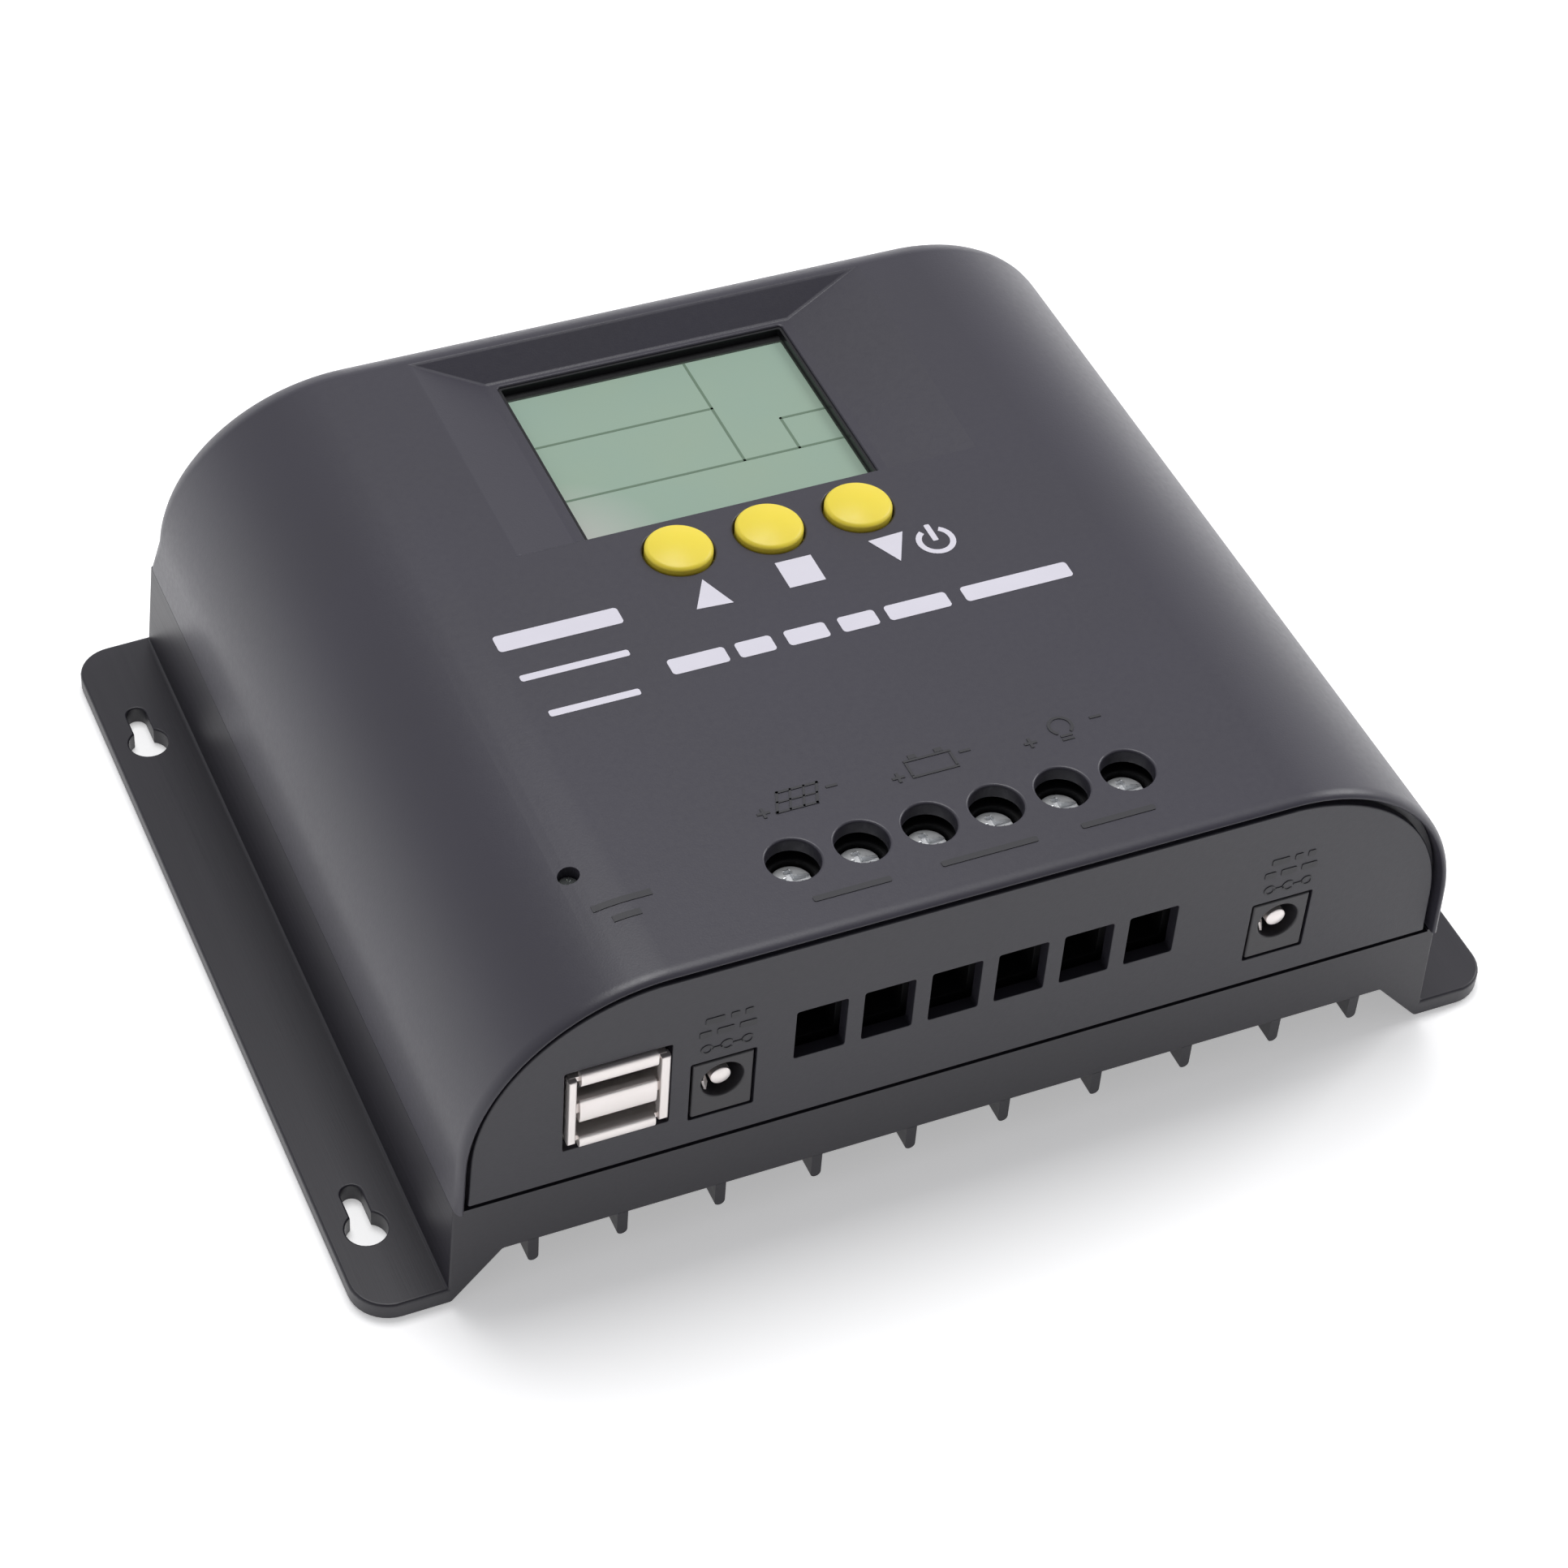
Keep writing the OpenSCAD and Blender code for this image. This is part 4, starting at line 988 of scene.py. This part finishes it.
def make_usb():
    """Two stacked sockets: the can with rolled edges and contact springs, tongues and contacts."""
    x0, x1 = usb_low.x, usb_high.x
    z0, z1 = USB_Z0, usb_high.z
    front, back = FACE_Y - 0.15, usb_high.y
    slots = [(z0 + 1.0, z0 + 5.6), (z1 - 5.6, z1 - 1.0)]
    middle_x = (x0 + x1) / 2
    slot_x = (middle_x - 6.4, middle_x + 6.4)
    can = work(block((x0 + 0.3, front + 0.3, z0), (x1 - 0.3, back, z1)))
    foot = block((x0 + 0.3, PANEL_BACK_Y + 0.3, usb_low.z), (x1 - 0.3, back, z0 + 1))
    boolean(can, foot, "UNION")
    boolean(can, [block((slot_x[0], front - 2, a), (slot_x[1], back - 4, b)) for a, b in slots])
    clean(can)
    bevel(can, 0.15, None, 2)
    parts = [bmesh_of(can)]
    rolled = (
        (z1 - 1.55, z1 + 0.95, 0.75),
        (slots[0][1] - 1.5, slots[1][0] + 0.9, 0.6),
        (z0 - 0.85, z0 + 1.25, 0.75),
    )
    for low_z, high_z, bulge in rolled:
        parts.append(rolled_edge(x0 + 1.75, x1 - 1.85, low_z, high_z, front + 0.1, bulge))
    for a, b in ((x0 + 0.05, x0 + 1.25), (x1 - 1.45, x1 - 0.05)):
        bar = work(block((a, front - 0.55, z0 + 0.3), (b, front + 0.8, z1 - 0.1)))
        bevel(bar, 0.3, lambda middle: middle.y < front, 3)
        parts.append(bmesh_of(bar))
    # contact springs that hang into the top of each slot
    spring = ((0.15, 0.4), (0.35, -0.85), (1.3, -1.4), (4.2, -0.3))
    for _, roof in slots:
        line = [(front + y, roof + z) for y, z in spring]
        for offset, half_width in ((-3.8, 1.1), (-1.0, 0.45), (1.4, 0.6), (4.0, 1.0)):
            x = middle_x + offset
            parts.append(sheet(line, x - half_width, x + half_width))
    piece(merged(parts), "usb_can", "case", "nickel_plated_steel", ["usb_shell"])
    tongues = []
    contacts = []
    for floor, _ in slots:
        outline = rectangle(middle_x - 5.6, FACE_Y + 0.8, middle_x + 5.6, back - 4, 0.3, 3)
        tongue = work(prism(outline, "z", floor + 2.4, floor + 4.3))
        bevel(tongue, 0.2, None, 2)
        tongues.append(bmesh_of(tongue))
        for offset in (-3.5, -1.0, 1.0, 3.5):
            x = middle_x + offset
            contact = block((x - 0.5, FACE_Y + 2.0, floor + 2.3), (x + 0.5, back - 5, floor + 2.42))
            contacts.append(contact)
    piece(merged(tongues), "usb_contact_tongues", "case", "black_gloss_plastic", ["usb_tongues"])
    piece(merged(contacts), "usb_contacts", "case", "tinned_brass")


def make_barrel_sockets():
    """Two socket bodies with round holes, their centre pins and the springs beside the pins."""
    for side, x in zip(("left", "right"), JACK_X):
        low, high = corners("barrel_socket_" + side)
        socket = work(block(low, high))
        bevel(socket, 0.3)
        cutter = hole_cutter(0, 0, JACK_HOLE_R, 0, -9.5, 0.35)
        boolean(socket, moved(cutter, (x, low.y, JACK_HOLE_Z), FACE_TURN))
        name = "barrel_socket_body_" + side
        piece(socket, name, "case", "socket_plastic", ["barrel_socket_" + side])
    pin_low, pin_high = corners("barrel_socket_pins")
    tip_y = JACK_FACE_Y + JACK_PIN_TIP
    end = tip_y - pin_high.y
    profile = [(0, 0)]
    for a in (20, 40, 60, 80, 90):
        a = math.radians(a)
        profile.append((JACK_PIN_R * math.sin(a), JACK_PIN_TIP * (math.cos(a) - 1)))
    profile += [(JACK_PIN_R, end), (0, end)]
    reach = JACK_FACE_Y - pin_low.y
    pins = []
    springs = []
    for x in JACK_X:
        pins.append(moved(revolve(profile, 32), (x, tip_y, JACK_HOLE_Z), FACE_TURN))
        spring = sheet([(reach + 0.5, -2.7), (reach + 1.5, -2.05), (reach + 5.5, -2.8)], -1.0, 1.0)
        turn = Matrix.Rotation(math.radians(75), 3, "Y")
        springs.append(moved(spring, (x, pin_low.y, JACK_HOLE_Z), turn))
    metal = "nickel_plated_steel"
    piece(merged(pins), "barrel_socket_centre_pins", "case", metal, ["barrel_socket_pins"])
    piece(merged(springs), "barrel_socket_springs", "case", metal)


# ---- terminals


def threaded_rod(r, z0, z1, pitch, depth, at, steps=32, per_turn=8):
    """A rod whose surface is a true helix, closed at both ends."""
    rings = []
    count = max(2, int((z1 - z0) / pitch * per_turn))
    for k in range(count + 1):
        z = z0 + (z1 - z0) * k / count
        ring = []
        for i in range(steps):
            a = 2 * math.pi * i / steps
            phase = (z / pitch - i / steps) % 1.0
            d = depth * (1 - abs(2 * phase - 1))
            ring.append((at[0] + (r - d) * math.cos(a), at[1] + (r - d) * math.sin(a), z))
        rings.append(ring)
    return loft(rings)


def make_terminal_screw(n):
    """A clamp screw: low-domed head with a slot and a cross, on a threaded shank."""
    low, high = POLES[n - 1]
    x, y = centre(low, high)
    head_z0, head_z1, r = high.z - 1.8, high.z, (high.x - low.x) / 2
    dome = [(r * k / 8, head_z1 - 0.6 * (k / 8) ** 2) for k in range(8)]
    side = [(r - 0.1, head_z1 - 0.62), (r, head_z1 - 0.85), (r, head_z0 + 0.15), (r - 0.15, head_z0)]
    head = work(revolve(dome + side + [(0, head_z0)], 56, (x, y)))
    recess = head_z1 - 0.9
    boolean(head, block((x - r - 1, y - 0.5, recess), (x + r + 1, y + 0.5, head_z1 + 1)))
    boolean(head, block((x - 0.5, y - 1.9, recess), (x + 0.5, y + 1.9, head_z1 + 1)))
    clean(head)
    bevel(head, 0.1, lambda middle: middle.z > head_z1 - 0.95, 2)
    shank = threaded_rod(2.0, low.z, head_z0 + 0.01, 0.7, 0.3, (x, y))
    screw = merged([bmesh_of(head), shank])
    piece(screw, f"slotted_screw_{n}", f"screw_{n}", "zinc_plated_steel", [f"terminal_screw_{n}"])


def make_cage(n):
    """A rising clamp cage: a square steel loop with a screw hole above and a grooved jaw below."""
    low, high = corners(f"clamp_cage_{n}")
    side, ceiling, floor = 0.9, 1.6, 1.8
    cage = work(prism(rectangle(low.x, low.z, high.x, high.z, 0.7, 4), "y", low.y, high.y))
    jaw_z = low.z + floor
    inner = rectangle(low.x + side, jaw_z, high.x - side, high.z - ceiling, 0.4, 3)
    boolean(cage, prism(inner, "y", low.y - 1, high.y + 1))
    x, y = centre(low, high)
    boolean(cage, prism(disc(x, y, 2.05, 32), "z", high.z - ceiling - 0.5, high.z + 1))
    clean(cage)
    bevel(cage, 0.18, lambda middle: min(abs(middle.y - low.y), abs(middle.y - high.y)) < 0.01, 2)
    x0, x1 = low.x + side + 0.01, high.x - side - 0.01
    grooves = []
    for k in range(5):
        start = y - 3 + k * 1.5
        grooves.append(block((x0, start, jaw_z - 0.25), (x1, start + 0.5, jaw_z + 0.5)))
    boolean(cage, grooves)
    # the cage's dark steel is painted shade for the insides of the terminal windows
    piece(cage, f"wire_clamp_{n}", f"cage_{n}", "blackened_steel", [f"clamp_cage_{n}"])


# ---- inner pieces


def finish_inner_nodes():
    """Gives the CAD nodes that stay their materials, welded seams and slightly softened edges."""
    slots = {row["node"]: row["material_slot"] for row in frame["record"]["subparts"]}
    for name, obj in frame["nodes"].items():
        if obj.hide_render:
            continue
        obj.data.materials.clear()
        obj.data.materials.append(MATERIALS[slots[name]])
        obj.modifiers.new("weld", "WELD").merge_threshold = 0.000002
        soft = obj.modifiers.new("bevel", "BEVEL")
        soft.width = 0.00012
        soft.segments = 2
        soft.limit_method = "ANGLE"
        soft.angle_limit = math.radians(40)
        obj.data.shade_smooth()
        obj.modifiers.new("normals", "WEIGHTED_NORMAL").keep_sharp = True


# ---- floor, light, camera


def make_floor():
    """A pale sheet that glows faintly and is see-through from below."""
    bm = bmesh.new()
    bmesh.ops.create_grid(bm, x_segments=40, y_segments=40, size=4.0)
    floor = work(bm, "floor")
    floor.location = (0, 0, -0.0002)
    white, grey = (0.97, 0.97, 0.97), (0.955, 0.955, 0.96)
    material = finish_material("floor_paper", white, 0.9, second=grey, drift=200, grain=1.0, bump=0.02)
    tree = material.node_tree
    link = tree.links.new
    shader, output = tree.nodes["Principled BSDF"], tree.nodes["Material Output"]
    fill(shader, {"Emission Color": (1.0, 1.0, 1.0, 1), "Emission Strength": 0.38})
    side = add_node(tree, "NewGeometry")
    clear = add_node(tree, "BsdfTransparent")
    one_way = add_node(tree, "MixShader")
    link(side.outputs["Backfacing"], one_way.inputs[0])
    link(shader.outputs["BSDF"], one_way.inputs[1])
    link(clear.outputs["BSDF"], one_way.inputs[2])
    link(one_way.outputs["Shader"], output.inputs["Surface"])
    floor.data.materials.append(material)


def area_light(name, place, target, size, power):
    """A rectangular lamp that faces its target; size in metres, power in watts."""
    data = bpy.data.lights.new(name, "AREA")
    data.shape = "RECTANGLE"
    data.size, data.size_y = size
    data.energy = power
    light = new_object(name, data)
    light.location = place
    light.rotation_euler = (Vector(target) - Vector(place)).to_track_quat("-Z", "Y").to_euler()


def make_world():
    """Soft studio surroundings: bright near the horizon, dim overhead and dimmer towards the front."""
    world = bpy.data.worlds.new("studio")
    bpy.context.scene.world = world
    world.use_nodes = True
    tree = world.node_tree
    link = tree.links.new
    split = add_node(tree, "SeparateXYZ")
    ramp = add_node(tree, "ValToRGB")
    stops = ramp.color_ramp.elements
    stops[0].position, stops[0].color = 0.0, (1.0, 1.0, 1.0, 1)
    stops[1].position, stops[1].color = 1.0, (0.14, 0.14, 0.16, 1)
    for position, level in ((0.07, 0.95), (0.24, 0.50), (0.6, 0.40), (0.8, 0.22)):
        stops.new(position).color = (level, level, level * 1.04, 1)
    front = add_node(tree, "MapRange", {"From Min": -0.8, "From Max": 0.2, "To Min": 0.35})
    dimmed = add_node(tree, "VectorMath", operation="SCALE")
    background = tree.nodes["Background"]
    link(add_node(tree, "TexCoord").outputs["Generated"], split.inputs["Vector"])
    link(split.outputs["Z"], ramp.inputs["Fac"])
    link(split.outputs["Y"], front.inputs["Value"])
    link(ramp.outputs["Color"], dimmed.inputs[0])
    link(front.outputs["Result"], dimmed.inputs["Scale"])
    link(dimmed.outputs["Vector"], background.inputs["Color"])
    background.inputs["Strength"].default_value = 1.15


def make_camera():
    """The viewpoint: a long lens from the front left, looking down at the terminal face."""
    data = bpy.data.cameras.new("camera")
    data.sensor_width = 36.0
    data.lens = 91.945
    data.clip_start, data.clip_end = 0.01, 20
    camera = new_object("camera", data)
    forward = Vector((0.31922, 0.63698, -0.70168)).normalized()
    up = Vector((0.23983, 0.66202, 0.71008))
    right = forward.cross(up).normalized()
    up = right.cross(forward)
    place = Vector((-0.19490, -0.39455, 0.44366))
    camera.matrix_world = Matrix(
        [
            [right.x, up.x, -forward.x, place.x],
            [right.y, up.y, -forward.y, place.y],
            [right.z, up.z, -forward.z, place.z],
            [0, 0, 0, 1],
        ]
    )
    bpy.context.scene.camera = camera


# ---- build

make_cover()
make_panel()
make_tray()
for button in BUTTONS:
    make_button(button)
make_display()
make_print()
make_raised_marks()
make_indicator_marks()
make_polarity_marks()
make_usb()
make_barrel_sockets()
for pole in range(1, 7):
    make_terminal_screw(pole)
    make_cage(pole)
finish_inner_nodes()
make_floor()
make_world()
area_light("overhead", (0.0, 0.36, 1.45), (0, 0, 0.03), (0.7, 0.7), 12)
area_light("right", (1.3, 0.25, 0.95), (0, 0, 0.03), (0.6, 0.6), 8)
make_camera()
bpy.context.scene.view_settings.view_transform = "Standard"
bpy.context.scene.view_settings.look = "None"
